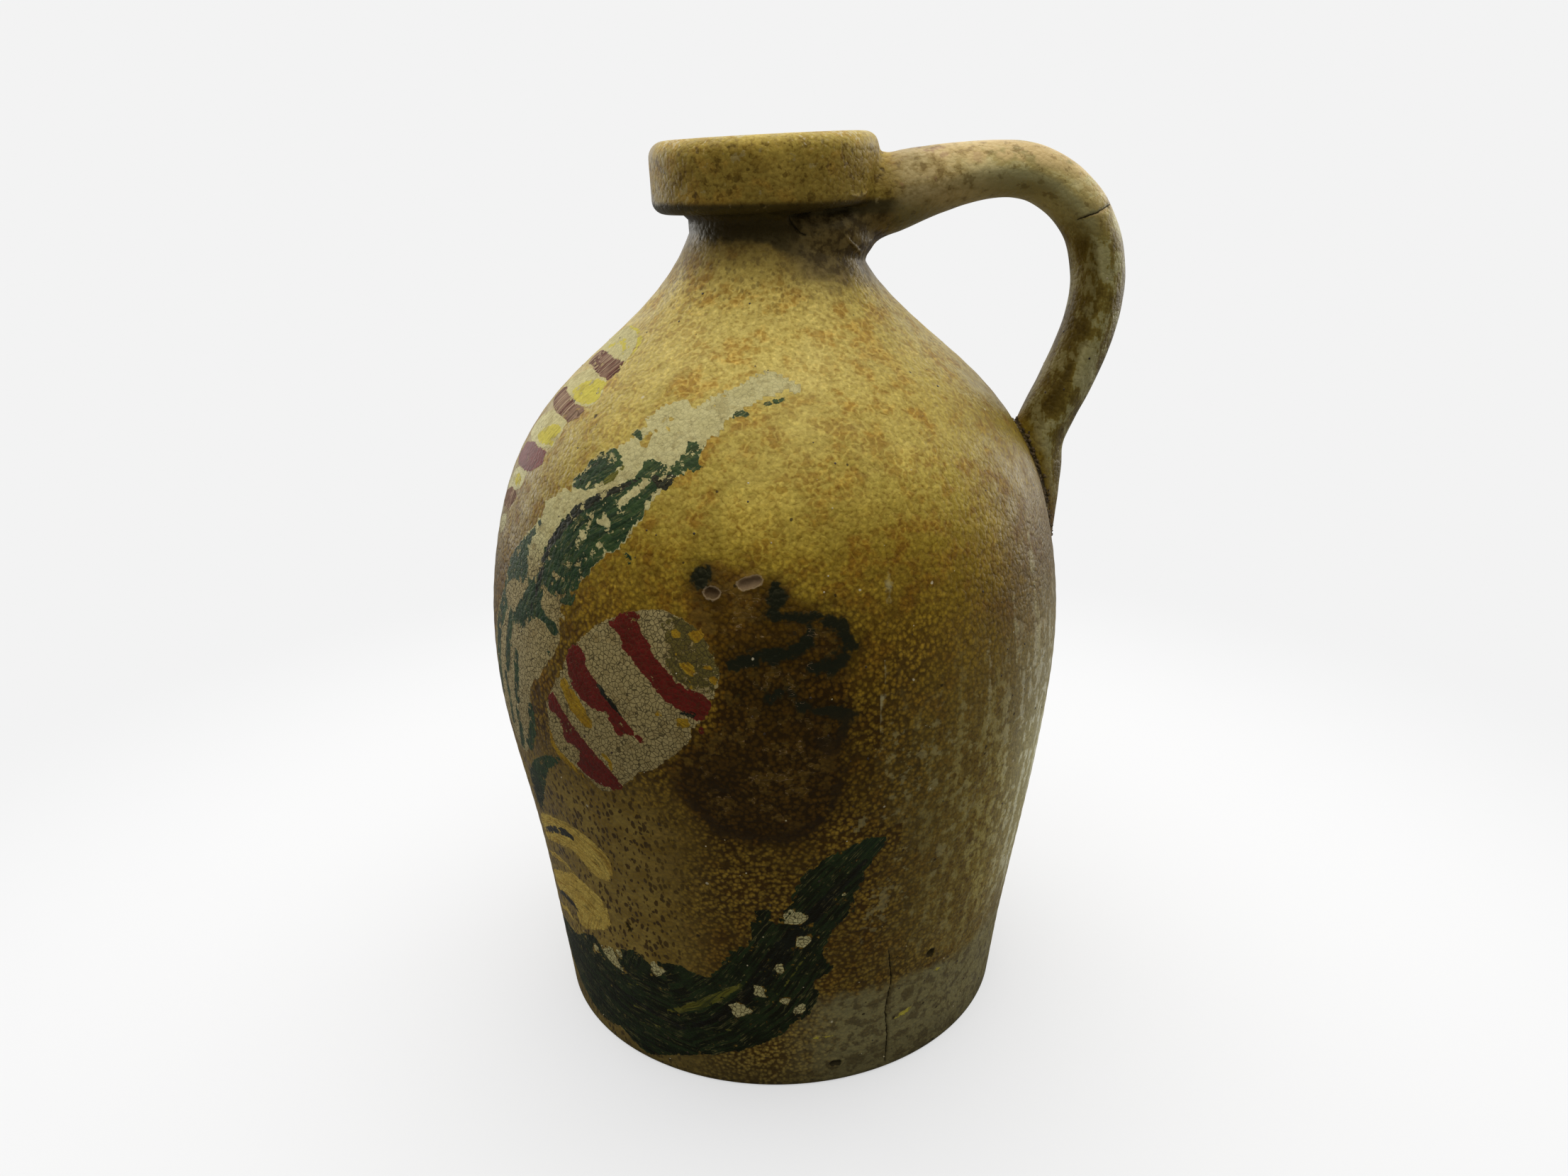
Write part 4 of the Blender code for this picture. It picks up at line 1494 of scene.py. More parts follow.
@dataclass
class FiredJug:
    """The one fired piece: its joined solids, its softened joints, its flaws and where its paint lies."""

    form: JugForm
    upper_softness: float = 7.5
    lower_softness: float = 2.2
    soft_rounds: int = 40
    flaw_margin: float = 1.6
    wander_seed: int = 4
    leaf_edge_from: float = 185.0
    tail_end: float = 201.0
    field_reach: float = 12.0
    path_step: float = 1.0
    joint_width: float = 2.6
    joint_room: tuple[float, float, float] = (-25.0, 50.0, 165.0)
    crumb_room: tuple[float, float, float] = (60.0, 190.0, 272.0)
    crumb_reach: float = 2.2
    painted_sides: tuple[float, float] = (165.0, 345.0)
    paint_top: float = 290.0
    upper_glaze_from: float = 284.0
    brush_run: float = 4.0
    brush_gap: float = 40.0
    sharp_angle: float = 50.0
    mesh: bpy.types.Mesh = field(init=False)

    def join(self, glaze: bpy.types.Material, slip: bpy.types.Material) -> None:
        """Joins the wall, handle and web, hollows them, and softens the joints between them.

        Args:
            glaze: The finish outside.
            slip: The finish inside.
        """
        outer, hollow = ThrownBody(self.form).build(glaze, slip)
        handle = PulledHandle(self.form).build(glaze)
        web = SmearedWeb(self.form).build(glaze)
        depsgraph = bpy.context.evaluated_depsgraph_get()
        trees = [BVHTree.FromObject(part, depsgraph) for part in (outer, handle, web)]
        for tool, operation in ((handle, "UNION"), (web, "UNION"), (hollow, "DIFFERENCE")):
            step = outer.modifiers.new(tool.name, "BOOLEAN")
            step.operation = operation
            step.object = tool
            step.solver = "EXACT"
            step.material_mode = "TRANSFER"
        self.mesh = plain_mesh(outer)
        for tool in (handle, web, hollow):
            bpy.data.objects.remove(tool, do_unlink=True)
        self.put_in_order(
            [material.name if material else "" for material in self.mesh.materials].index(slip.name)
        )
        self.mesh.materials.clear()
        for material in (glaze, slip):
            self.mesh.materials.append(material)
        self.refine(lambda places: self.joint_gap(places, trees) < self.joint_width * MM, 1)
        self.soften(trees)

    def put_in_order(self, slip_slot: int) -> None:
        """Numbers the corners and faces by their places, because the joining may leave them in any order.

        Args:
            slip_slot: The slot of the finish inside. It becomes slot 1, and all others become slot 0.
        """
        places = corners_of(self.mesh)
        order = np.lexsort(places.T)
        rank = np.argsort(order).tolist()
        faces = []
        for face in self.mesh.polygons:
            corners = [rank[index] for index in face.vertices]
            first = corners.index(min(corners))
            finish = Finish.SLIP if face.material_index == slip_slot else Finish.PLAIN_GLAZE
            faces.append((corners[first:] + corners[:first], int(finish)))
        faces.sort()
        self.mesh.clear_geometry()
        self.mesh.from_pydata(places[order].tolist(), [], [corners for corners, _ in faces])
        self.mesh.polygons.foreach_set("material_index", [slot for _, slot in faces])

    def joint_gap(self, places: np.ndarray, trees: list[BVHTree]) -> np.ndarray:
        """How far each place is from where the handle or the web meets the rest.

        Args:
            places: Places in metres, one a row.
            trees: The wall's, the handle's and the web's surfaces.

        Returns:
            Distances in metres.
        """
        reach = self.field_reach * MM
        gaps = np.full((len(places), 3), reach)
        left, aside, base = (size * MM for size in self.joint_room)
        near = np.flatnonzero((places[:, 0] > left) & (np.abs(places[:, 1]) < aside) & (places[:, 2] > base))
        for index in near:
            for part, tree in enumerate(trees):
                distance = tree.find_nearest(Vector(places[index]), reach)[3]
                if distance is not None:
                    gaps[index, part] = distance
        wall, handle, web = gaps.T
        return np.minimum(
            np.maximum(handle, np.minimum(wall, web)), np.maximum(web, np.minimum(wall, handle))
        )

    def refine(self, wanted: Any, rounds: int, shortest: float = 0.45) -> None:
        """Splits the edges where a finer surface is wanted.

        Args:
            wanted: Tells which of the places given to it want a finer surface.
            rounds: How many times the edges are split.
            shortest: The length in millimetres under which an edge stays whole.
        """
        for _ in range(rounds):
            chosen = wanted(corners_of(self.mesh))
            shape = bmesh.new()
            shape.from_mesh(self.mesh)
            shape.verts.ensure_lookup_table()
            edges = [
                edge
                for edge in shape.edges
                if chosen[edge.verts[0].index]
                and chosen[edge.verts[1].index]
                and edge.calc_length() > shortest * MM
            ]
            bmesh.ops.subdivide_edges(shape, edges=edges, cuts=1, use_grid_fill=True)
            shape.to_mesh(self.mesh)
            shape.free()

    def soften(self, trees: list[BVHTree]) -> None:
        """Smooths the joints: a soft fillet up at the collar, and hardly any down on the shoulder.

        Args:
            trees: The wall's, the handle's and the web's surfaces.
        """
        places = corners_of(self.mesh)
        gap = self.joint_gap(places, trees) / MM
        upper = ease((places[:, 2] / MM - 262) / 30)
        reach = self.lower_softness + (self.upper_softness - self.lower_softness) * upper
        share = ease(1 - gap / reach)[:, None]
        ends = np.empty(len(self.mesh.edges) * 2, np.int32)
        self.mesh.edges.foreach_get("vertices", ends)
        ends = ends.reshape(-1, 2)
        active = ends[(share[ends[:, 0], 0] > 0) | (share[ends[:, 1], 0] > 0)]
        count = np.bincount(active.ravel(), minlength=len(places))[:, None]
        for _ in range(self.soft_rounds):
            total = np.zeros_like(places)
            for one, other in ((0, 1), (1, 0)):
                for axis in range(3):
                    total[:, axis] += np.bincount(
                        active[:, one], weights=places[active[:, other], axis], minlength=len(places)
                    )
            middle = np.where(count > 0, total / np.maximum(count, 1), places)
            places = places + (middle - places) * share * 0.5
        move_corners(self.mesh, places)
        keep_numbers(self.mesh, "joint_gap", gap)
        left, bottom, top = (size * MM for size in self.crumb_room)
        low = (places[:, 0] > left) & (places[:, 2] > bottom) & (places[:, 2] < top)
        keep_numbers(self.mesh, "crumb_room", np.where(low, ease(self.crumb_reach - gap), 0.0))
        on_handle = ease((places[:, 0] / MM - self.form.radius(places[:, 2] / MM) - 1.0) / 9.0)
        past_collar = ease((places[:, 0] / MM - self.form.collar_radius - 1.0) / 9.0)
        keep_numbers(self.mesh, "handle_share", np.where(places[:, 2] / MM > 300, past_collar, on_handle))

    def path(self, flaw: Flaw, surface: BVHTree) -> np.ndarray:
        """The points of a flaw on the fired surface.

        Args:
            flaw: The flaw.
            surface: The jug's surface.

        Returns:
            Points in metres, one a row.
        """
        places = flaw.places
        if len(places) > 1:
            places = np.array(spaced(list(places), self.path_step))
        points = []
        for index, (first, height) in enumerate(places):
            stray = Vector(noise.noise_vector(Vector((index * 0.31, first, height)))) * flaw.wander
            if flaw.on_handle:
                start, way = Vector((first, -200.0, height + stray.z)), Vector((0.0, 1.0, 0.0))
            else:
                angle = math.radians(first) + stray.x / self.form.collar_radius * 0.4
                outward = Vector((math.cos(angle), math.sin(angle), 0.0))
                start, way = outward * 200.0 + Vector((0.0, 0.0, height + stray.z)), -outward
            hit = surface.ray_cast(start * MM, way)[0]
            if hit is not None:
                points.append(hit)
        if len(points) == 1:
            points.append(points[0] + Vector((0.0, 0.0, 0.2 * MM)))
        return np.array(points)

    def mark_flaws(self) -> None:
        """Opens the cracks, raises the ridges and sinks the pits, on a surface made finer round them."""
        surface = BVHTree.FromPolygons(
            [v.co for v in self.mesh.vertices], [p.vertices for p in self.mesh.polygons]
        )
        noise.seed_set(self.wander_seed)
        paths = [self.path(flaw, surface) for flaw in FLAWS]
        margins = [(flaw.width * 1.5 + self.flaw_margin) * MM for flaw in FLAWS]

        def near_flaws(places: np.ndarray) -> np.ndarray:
            """Whether each place is near a flaw."""
            close = np.zeros(len(places), bool)
            for path, margin in zip(paths, margins):
                box = np.all((places > path.min(0) - margin) & (places < path.max(0) + margin), axis=1)
                rows = np.flatnonzero(box)
                close[rows] = close[rows] | (nearest_on_line(places[rows], path)[0] < margin)
            return close

        self.refine(near_flaws, 2)
        places, normals = corners_of(self.mesh), normals_of(self.mesh)
        reach = self.field_reach
        side, beyond = np.full(len(places), reach), np.full(len(places), reach)
        fields = {kind: np.full(len(places), reach) for kind in (FlawKind.RIDGE, FlawKind.PIT)}
        push = np.zeros(len(places))
        for flaw, path in zip(FLAWS, paths):
            box = np.all((places > path.min(0) - reach * MM) & (places < path.max(0) + reach * MM), axis=1)
            rows = np.flatnonzero(box)
            across, past, gap, along = beside(places[rows], normals[rows], path)
            share = along / (len(path) - 1)
            fade = np.sqrt(np.clip(np.minimum(share, 1 - share) * 6, 0.08, 1.0)) if len(path) > 3 else 1.0
            if flaw.kind is FlawKind.PIT:
                bowl = -flaw.depth * (1 - ease(gap / flaw.width))
                lip = 0.22 * flaw.depth * np.exp(-(((gap - flaw.width * 1.1) / (flaw.width * 0.35)) ** 2))
                push[rows] += bowl + lip
                fields[flaw.kind][rows] = np.minimum(fields[flaw.kind][rows], gap - flaw.width)
                continue
            bell = np.exp(-((gap / flaw.width) ** 2)) * fade
            if flaw.kind is FlawKind.RIDGE:
                push[rows] += flaw.depth * bell
                fields[flaw.kind][rows] = np.minimum(fields[flaw.kind][rows], gap / fade)
                continue
            push[rows] -= flaw.depth * bell
            over = past + np.maximum(gap - 2.0, 0.0)
            over += (1 / fade - 1) * flaw.width * 0.3
            closer = np.hypot(across, over) < np.hypot(side[rows], beyond[rows])
            side[rows[closer]] = across[closer]
            beyond[rows[closer]] = over[closer]
        move_corners(self.mesh, places + normals * push[:, None] * MM)
        keep_numbers(self.mesh, "crack_side", side)
        keep_numbers(self.mesh, "crack_beyond", beyond)
        for kind, values in fields.items():
            keep_numbers(self.mesh, kind.value, values)

    def lay_paint(self) -> None:
        """Keeps on each vertex how far inside each paint it lies, in millimetres, less than 0 outside."""
        places = corners_of(self.mesh)
        mm = places / MM
        azimuth = np.degrees(np.arctan2(mm[:, 1], mm[:, 0])) % 360
        radius = np.hypot(mm[:, 0], mm[:, 1])
        outside = radius > self.form.radius(mm[:, 2]) - 4
        left, right = self.painted_sides
        rows = np.flatnonzero(outside & (azimuth > left) & (azimuth < right) & (mm[:, 2] < self.paint_top))
        spots = np.column_stack([azimuth[rows], mm[rows, 2]])
        near = places[rows]
        reach = self.field_reach

        def area_depth(outline: Sequence[Place], rounds: int) -> np.ndarray:
            """How far inside an outline each place is."""
            corners = rounded(np.array(outline, float), rounds)
            closed = spaced([tuple(c) for c in (*corners, corners[0])], 4.0)
            gap = nearest_on_line(near, self.form.on_wall(closed))[0] / MM
            return np.where(inside(spots, corners), gap, -gap)

        def stroke_depth(route: Sequence[Place], widths: Sequence[float]) -> np.ndarray:
            """How far inside a stroke each place is."""
            line = self.form.on_wall(route)
            gap, along, _ = nearest_on_line(near, line)
            return np.interp(along, range(len(widths)), widths) / 2 - gap / MM

        fields = {paint: np.full(len(rows), -reach) for paint in PaintLayer}
        shapes = leaf_spray() + striped_bud() + lower_garland() + side_scroll() + band_column() + stray_dabs()
        for shape in shapes:
            if isinstance(shape, Area):
                depth = area_depth(shape.outline, shape.rounding)
            else:
                depth = stroke_depth(shape.places, shape.widths)
            if shape.bare:
                fields[shape.paint] = np.minimum(fields[shape.paint], -depth)
            else:
                fields[shape.paint] = np.maximum(fields[shape.paint], depth)
        cream, green = fields[PaintLayer.CREAM], fields[PaintLayer.GREEN]
        on_leaf = spots[:, 1] > self.leaf_edge_from
        shared_edge = (cream < 2.5) & (green > -3.0) & on_leaf
        cream[shared_edge] = np.minimum(cream, green + 0.2)[shared_edge]
        for paint, values in fields.items():
            self.keep_field(f"paint_{paint.value}", rows, values)
        self.keep_field("paint_any", rows, np.maximum.reduce(list(fields.values())))
        self.keep_field("scorch", rows, area_depth(SCORCH, 1))
        for name, strokes in (("scorch_blots", SCORCH_BLOTS), ("drips", DRIPS)):
            self.keep_field(name, rows, np.maximum.reduce([stroke_depth(*stroke) for stroke in strokes]))
        self.comb_brush(places, rows)
        on_wall = outside & (mm[:, 2] > 4) & (mm[:, 2] < 305)
        keep_numbers(self.mesh, "wall", on_wall.astype(float))

    def comb_brush(self, places: np.ndarray, rows: np.ndarray) -> None:
        """Keeps how far across and along the nearest brush stroke each painted vertex lies, in millimetres.

        Args:
            places: The vertices in metres.
            rows: The vertices where there may be paint.
        """
        normals = normals_of(self.mesh)
        nearest = np.full(len(rows), np.inf)
        across, along = np.zeros(len(places)), np.zeros(len(places))
        for number, guide in enumerate(BRUSH_GUIDES):
            path = self.form.on_wall(spaced([tuple(place) for place in guide], self.brush_run))
            side, _, gap, run = beside(places[rows], normals[rows], path)
            closer = gap < nearest
            nearest[closer] = gap[closer]
            across[rows[closer]] = side[closer] + self.brush_gap * number
            along[rows[closer]] = run[closer] * self.brush_run
        keep_numbers(self.mesh, "brush_across", across)
        keep_numbers(self.mesh, "brush_along", along)

    def keep_field(self, name: str, rows: np.ndarray, values: np.ndarray) -> None:
        """Keeps a field of distances on the mesh.

        Args:
            name: The attribute's name.
            rows: The vertices that it is known at.
            values: Millimetres inside, less than 0 outside.
        """
        whole = np.full(len(self.mesh.vertices), -self.field_reach)
        whole[rows] = np.clip(values, -self.field_reach, self.field_reach)
        keep_numbers(self.mesh, name, whole)

    def numbers(self, name: str) -> np.ndarray:
        """The values that are kept on the vertices under a name."""
        values = np.empty(len(self.mesh.vertices), np.float32)
        self.mesh.attributes[name].data.foreach_get("value", values)
        return values

    def finish(
        self, foot: bpy.types.Material, painted: bpy.types.Material, upper: bpy.types.Material
    ) -> bpy.types.Object:
        """Gives each zone its finish, keeps the shape inside the solid's box and puts the piece in the scene.

        Args:
            foot: The finish of the unglazed underside.
            painted: The finish where there is paint or scorch.
            upper: The finish of the neck, collar and handle.

        Returns:
            The jug.
        """
        for material in (foot, painted, upper):
            self.mesh.materials.append(material)
        places = corners_of(self.mesh)
        move_corners(self.mesh, np.clip(places, CAD_BOX[0], CAD_BOX[1]))
        near_paint = (self.numbers("paint_any") > -4.0) | (self.numbers("scorch") > -10.0)
        joined = (self.numbers("handle_share") > 0.0) | (self.numbers("joint_gap") < 3.5)
        joined &= corners_of(self.mesh)[:, 2] > self.tail_end * MM
        near_top = joined | (places[:, 2] > self.upper_glaze_from * MM)
        for face in self.mesh.polygons:
            corners = list(face.vertices)
            if face.center.z < 0.3 * MM and face.normal.z < -0.9:
                face.material_index = Finish.BARE_FOOT
            elif face.material_index == Finish.PLAIN_GLAZE and near_top[corners].any():
                face.material_index = Finish.UPPER_GLAZE
            elif face.material_index == Finish.PLAIN_GLAZE and near_paint[corners].any():
                face.material_index = Finish.PAINTED_GLAZE
        self.mesh.name = "stoneware_jug"
        self.mesh.shade_smooth()
        self.mesh.set_sharp_from_angle(angle=math.radians(self.sharp_angle))
        jug = show("stoneware_jug", self.mesh)
        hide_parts("jug")
        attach(jug, BODY)
        return jug


def pebbled_skin() -> bpy.types.NodeTree:
    """The orange-peel skin of a salt glaze: domed pebbles, the hollows between them and a pit in some."""
    wiring, given, result = new_group(
        "ShaderNodeTree",
        "pebbled_skin",
        {"Vector": ("Vector", None), "Pebble Size": ("Float", 0.002), "Waver": ("Float", 0.5)},
        {"Height": "Float", "Hollows": "Float", "Pits": "Float"},
    )
    take = given.outputs
    scale = wiring.math("DIVIDE", 1.0, take["Pebble Size"])
    cloud = wiring.add("ShaderNodeTexNoise", {"Vector": take["Vector"], "Scale": scale, "Detail": 1.0})
    shift = wiring.vector("SUBTRACT", cloud.outputs["Color"], (0.5, 0.5, 0.5))
    reach = wiring.times(take["Pebble Size"], take["Waver"])
    moved = wiring.vector("ADD", take["Vector"], wiring.scaled(shift, reach))
    cells = wiring.add("ShaderNodeTexVoronoi", {"Vector": moved, "Scale": scale})
    away = cells.outputs["Distance"]
    chance = wiring.add("ShaderNodeSeparateXYZ", {0: cells.outputs["Color"]}).outputs[0]
    wiring.feed(result.inputs["Height"], wiring.less(1.0, wiring.times(away, away)))
    wiring.feed(result.inputs["Hollows"], wiring.span(away, 0.40, 0.66))
    edge = wiring.times_plus(chance, 0.22, 0.30)
    wiring.feed(result.inputs["Pits"], wiring.span(away, edge, wiring.less(edge, 0.12)))
    return wiring.tree


def mineral_specks() -> bpy.types.NodeTree:
    """Sparse specks of uneven size, such as iron in the clay or grit in the dirt."""
    wiring, given, result = new_group(
        "ShaderNodeTree",
        "mineral_specks",
        {
            "Vector": ("Vector", None),
            "Spacing": ("Float", 0.006),
            "Size": ("Float", 0.1),
            "Share": ("Float", 0.3),
        },
        {"Mask": "Float"},
    )
    take = given.outputs
    scale = wiring.math("DIVIDE", 1.0, take["Spacing"])
    cells = wiring.add("ShaderNodeTexVoronoi", {"Vector": take["Vector"], "Scale": scale})
    chance = wiring.add("ShaderNodeSeparateXYZ", {0: cells.outputs["Color"]}).outputs
    rough = wiring.noise(take["Vector"], wiring.times(scale, 5.0), 1.0)
    ragged = wiring.times_plus(wiring.less(rough, 0.5), 0.12, cells.outputs["Distance"])
    size = wiring.times(take["Size"], wiring.times_plus(chance[1], 1.2, 0.3))
    dot = wiring.span(ragged, wiring.times(size, 0.8), size, 1.0, 0.0)
    chosen = wiring.math("LESS_THAN", chance[0], take["Share"])
    wiring.feed(result.inputs["Mask"], wiring.times(dot, chosen))
    return wiring.tree


def settled_grime() -> bpy.types.NodeTree:
    """Old dirt in soft uneven clouds with finer smudges in them."""
    wiring, given, result = new_group(
        "ShaderNodeTree",
        "settled_grime",
        {"Vector": ("Vector", None), "Cloud Size": ("Float", 0.03), "Amount": ("Float", 0.5)},
        {"Mask": "Float"},
    )
    take = given.outputs
    scale = wiring.math("DIVIDE", 1.0, take["Cloud Size"])
    broad = wiring.noise(take["Vector"], scale, 4.0, 0.6)
    fine = wiring.noise(take["Vector"], wiring.times(scale, 9.0), 3.0, 0.6)
    both = wiring.plus(wiring.times(broad, 0.7), wiring.times(fine, 0.3))
    start = wiring.less(0.72, wiring.times(take["Amount"], 0.4))
    mask = wiring.span(both, start, wiring.plus(start, 0.16))
    wiring.feed(result.inputs["Mask"], mask)
    return wiring.tree


def worn_paint() -> bpy.types.NodeTree:
    """Where a worn coat of paint is left, from how far inside its shape a place is, in millimetres."""
    wiring, given, result = new_group(
        "ShaderNodeTree",
        "worn_paint",
        {
            "Depth": ("Float", 0.0),
            "Stray": ("Float", 0.0),
            "Raggedness": ("Float", 1.0),
            "Flakes": ("Float", 0.5),
            "Wear": ("Float", 0.3),
        },
        {"Mask": "Float"},
    )
    take = given.outputs
    depth = wiring.times_plus(take["Stray"], take["Raggedness"], take["Depth"])
    whole = wiring.span(depth, -0.12, 0.14)
    shelter = wiring.times(wiring.span(depth, 0.0, 4.0, smooth=False), 0.06)
    held = wiring.less(wiring.plus(take["Flakes"], shelter), take["Wear"])
    wiring.feed(result.inputs["Mask"], wiring.times(whole, wiring.span(held, -0.006, 0.010)))
    return wiring.tree


class Cloud(Enum):
    """The clouds that the finishes share: swells a metre, finer layers, and how strong those are."""

    SWAY = (17.0, 1.0, 0.62)
    BROAD = (38.0, 3.0, 0.62)
    PATCHES = (105.0, 3.0, 0.62)
    FLECKS = (240.0, 3.0, 0.62)
    WORMS = (290.0, 1.5, 0.5)
    GRIT = (700.0, 1.5, 0.6)


class Coat:
    """The colour, roughness and height that one material has built up so far."""

    def __init__(self, material: bpy.types.Material, roughness: Any, groups: Groups) -> None:
        """Clears a material's nodes and starts its first coat.

        Args:
            material: The material.
            roughness: The first roughness.
            groups: The shared node groups by name.
        """
        material.use_nodes = True
        self.material = material
        self.wiring = Wiring(material.node_tree)
        self.wiring.tree.nodes.clear()
        self.place = self.wiring.add("ShaderNodeTexCoord").outputs["Object"]
        self.xyz = self.wiring.add("ShaderNodeSeparateXYZ", {0: self.place}).outputs
        self.groups = groups
        self.colour: Any = None
        self.roughness = roughness
        self.height: Any = None
        self.noises: dict[Cloud, Socket] = {}

    def noise(self, cloud: Cloud) -> Socket:
        """A shared cloud of values over the surface.

        Args:
            cloud: Which one. It is made once for all that use it.

        Returns:
            Its values, around one half.
        """
        if cloud not in self.noises:
            self.noises[cloud] = self.wiring.noise(self.place, *cloud.value)
        return self.noises[cloud]

    def sway(self, cloud: Cloud) -> Socket:
        """A shared cloud with its middle moved to zero."""
        return self.wiring.less(self.noise(cloud), 0.5)

    def spots(self, cloud: Cloud, low: float, high: float, *ends: Any) -> Socket:
        """A value that changes with a shared cloud, between two of the cloud's values."""
        return self.wiring.span(self.noise(cloud), low, high, *ends)

    def band(self, value: Any, low: float, full: float, last: float, high: float) -> Socket:
        """A mask that rises from low to full and falls again from last to high."""
        return self.wiring.times(self.wiring.span(value, low, full), self.wiring.span(value, high, last))

    def level(self, low: float, full: float, last: float, high: float) -> Socket:
        """The same kind of mask up the wall, in millimetres."""
        return self.band(self.xyz[2], low * MM, full * MM, last * MM, high * MM)

    def across(self, low: float, high: float, *ends: Any) -> Socket:
        """A value that changes from the left to the right, between two places in millimetres."""
        return self.wiring.span(self.xyz[0], low * MM, high * MM, *ends)

    def back(self, low: float, high: float, *ends: Any) -> Socket:
        """A value that changes from the front to the back, between two places in millimetres."""
        return self.wiring.span(self.xyz[1], low * MM, high * MM, *ends)

    def up(self, low: float, high: float, *ends: Any) -> Socket:
        """A value that changes with the height, between two heights in millimetres."""
        return self.wiring.span(self.xyz[2], low * MM, high * MM, *ends)

    def facing(self) -> bpy.types.NodeOutputs:
        """The three parts of the way that the surface faces."""
        geometry = self.wiring.add("ShaderNodeNewGeometry")
        return self.wiring.add("ShaderNodeSeparateXYZ", {0: geometry.outputs["Normal"]}).outputs

    def group(self, name: str, **values: Any) -> bpy.types.NodeOutputs:
        """Places a shared node group that reads this material's place.

        Args:
            name: The group's name among the shared ones.
            **values: Its inputs, with _ for a space.

        Returns:
            Its outputs.
        """
        sockets = {key.replace("_", " "): value for key, value in values.items()}
        node = self.wiring.add("ShaderNodeGroup", node_tree=self.groups[name])
        if "Vector" in node.inputs:
            sockets.setdefault("Vector", self.place)
        for key, value in sockets.items():
            self.wiring.feed(node.inputs[key], value)
        return node.outputs

    def cover(
        self,
        share: Any,
        colour: Any,
        strength: float = 1.0,
        blend: str = "MIX",
        roughness: float | None = None,
    ) -> None:
        """Lays a colour over what is there.

        Args:
            share: Where it shows.
            colour: The colour.
            strength: How much of it shows there.
            blend: Blender's name for how they mix.
            roughness: The roughness where it shows, if it changes.
        """
        if strength != 1.0:
            share = self.wiring.times(share, strength)
        self.colour = self.wiring.mix(share, self.colour, colour, blend)
        if roughness is not None:
            self.roughness = self.wiring.blend(share, self.roughness, roughness)

    def tint(self, share: Any, colour: Any, strength: float = 1.0) -> None:
        """Multiplies what is there by a colour."""
        self.cover(share, colour, strength, "MULTIPLY")

    def raise_by(self, amount: Any) -> None:
        """Adds millimetres of height to the surface."""
        self.height = amount if self.height is None else self.wiring.plus(self.height, amount)

    def fire(self, **settings: Any) -> bpy.types.Material:
        """Joins the coats into the material's shader.

        Args:
            **settings: Plain values of the shader's own sockets, with _ for a space.

        Returns:
            The material.
        """
        shader = self.wiring.add("ShaderNodeBsdfPrincipled", {"Base Color": self.colour})
        self.wiring.feed(shader.inputs["Roughness"], self.roughness)
        for name, value in settings.items():
            self.wiring.feed(shader.inputs[name.replace("_", " ")], value)
        if self.height is not None:
            metres = self.wiring.times(self.height, MM)
            bump = self.wiring.add("ShaderNodeBump", {"Strength": 1.0, "Distance": 1.0, "Height": metres})
            self.wiring.feed(shader.inputs["Normal"], bump.outputs[0])
        self.wiring.add("ShaderNodeOutputMaterial", {"Surface": shader.outputs[0]})
        return self.material


class GlazeZone(Enum):
    """The parts of the glazed surface that differ enough to have a finish each."""

    PLAIN = "plain"
    PAINTED = "painted"
    UPPER = "upper"


@dataclass(frozen=True)
class PaintLook:
    """One cold paint: its colour, a second one in its brush marks, its wear low and high up, its crackle."""

    colour: Colour
    second: Colour
    wear: float
    upper_wear: float
    crackle: float
    raggedness: float = 1.0
    roughness: float = 0.5
    brush: float = 0.5


PAINT_LOOKS = {
    PaintLayer.CREAM: PaintLook((0.62, 0.55, 0.26), (0.48, 0.41, 0.165), 0.33, 0.36, 0.85, 1.1, 0.75, 0.25),
    PaintLayer.OLIVE: PaintLook((0.150, 0.115, 0.026), (0.060, 0.052, 0.012), 0.46, 0.46, 0.8, 1.6, 0.6),
    PaintLayer.OCHRE: PaintLook(
        (0.720, 0.520, 0.110), (0.420, 0.240, 0.030), 0.38, 0.38, 0.25, 1.2, 0.65, 0.8
    ),
    PaintLayer.YELLOW: PaintLook((0.620, 0.530, 0.070), (0.480, 0.380, 0.060), 0.44, 0.44, 0.0, 1.5, 0.75),
    PaintLayer.CRIMSON: PaintLook((0.160, 0.008, 0.008), (0.070, 0.005, 0.005), 0.38, 0.38, 0.3, 1.7, 0.5),
    PaintLayer.MAUVE: PaintLook(
        (0.110, 0.024, 0.020), (0.400, 0.280, 0.170), 0.39, 0.39, 0.1, 1.8, 0.8, 0.95
    ),
    PaintLayer.GREEN: PaintLook(
        (0.008, 0.036, 0.015), (0.040, 0.082, 0.022), 0.385, 0.44, 0.1, 1.9, 0.5, 0.7
    ),
    PaintLayer.LIME: PaintLook((0.160, 0.150, 0.018), (0.030, 0.040, 0.008), 0.42, 0.42, 0.0, 1.3, 0.5, 0.9),
    PaintLayer.INK: PaintLook((0.004, 0.006, 0.006), (0.020, 0.030, 0.022), 0.42, 0.42, 0.0, 1.6, 0.4, 0.6),
}


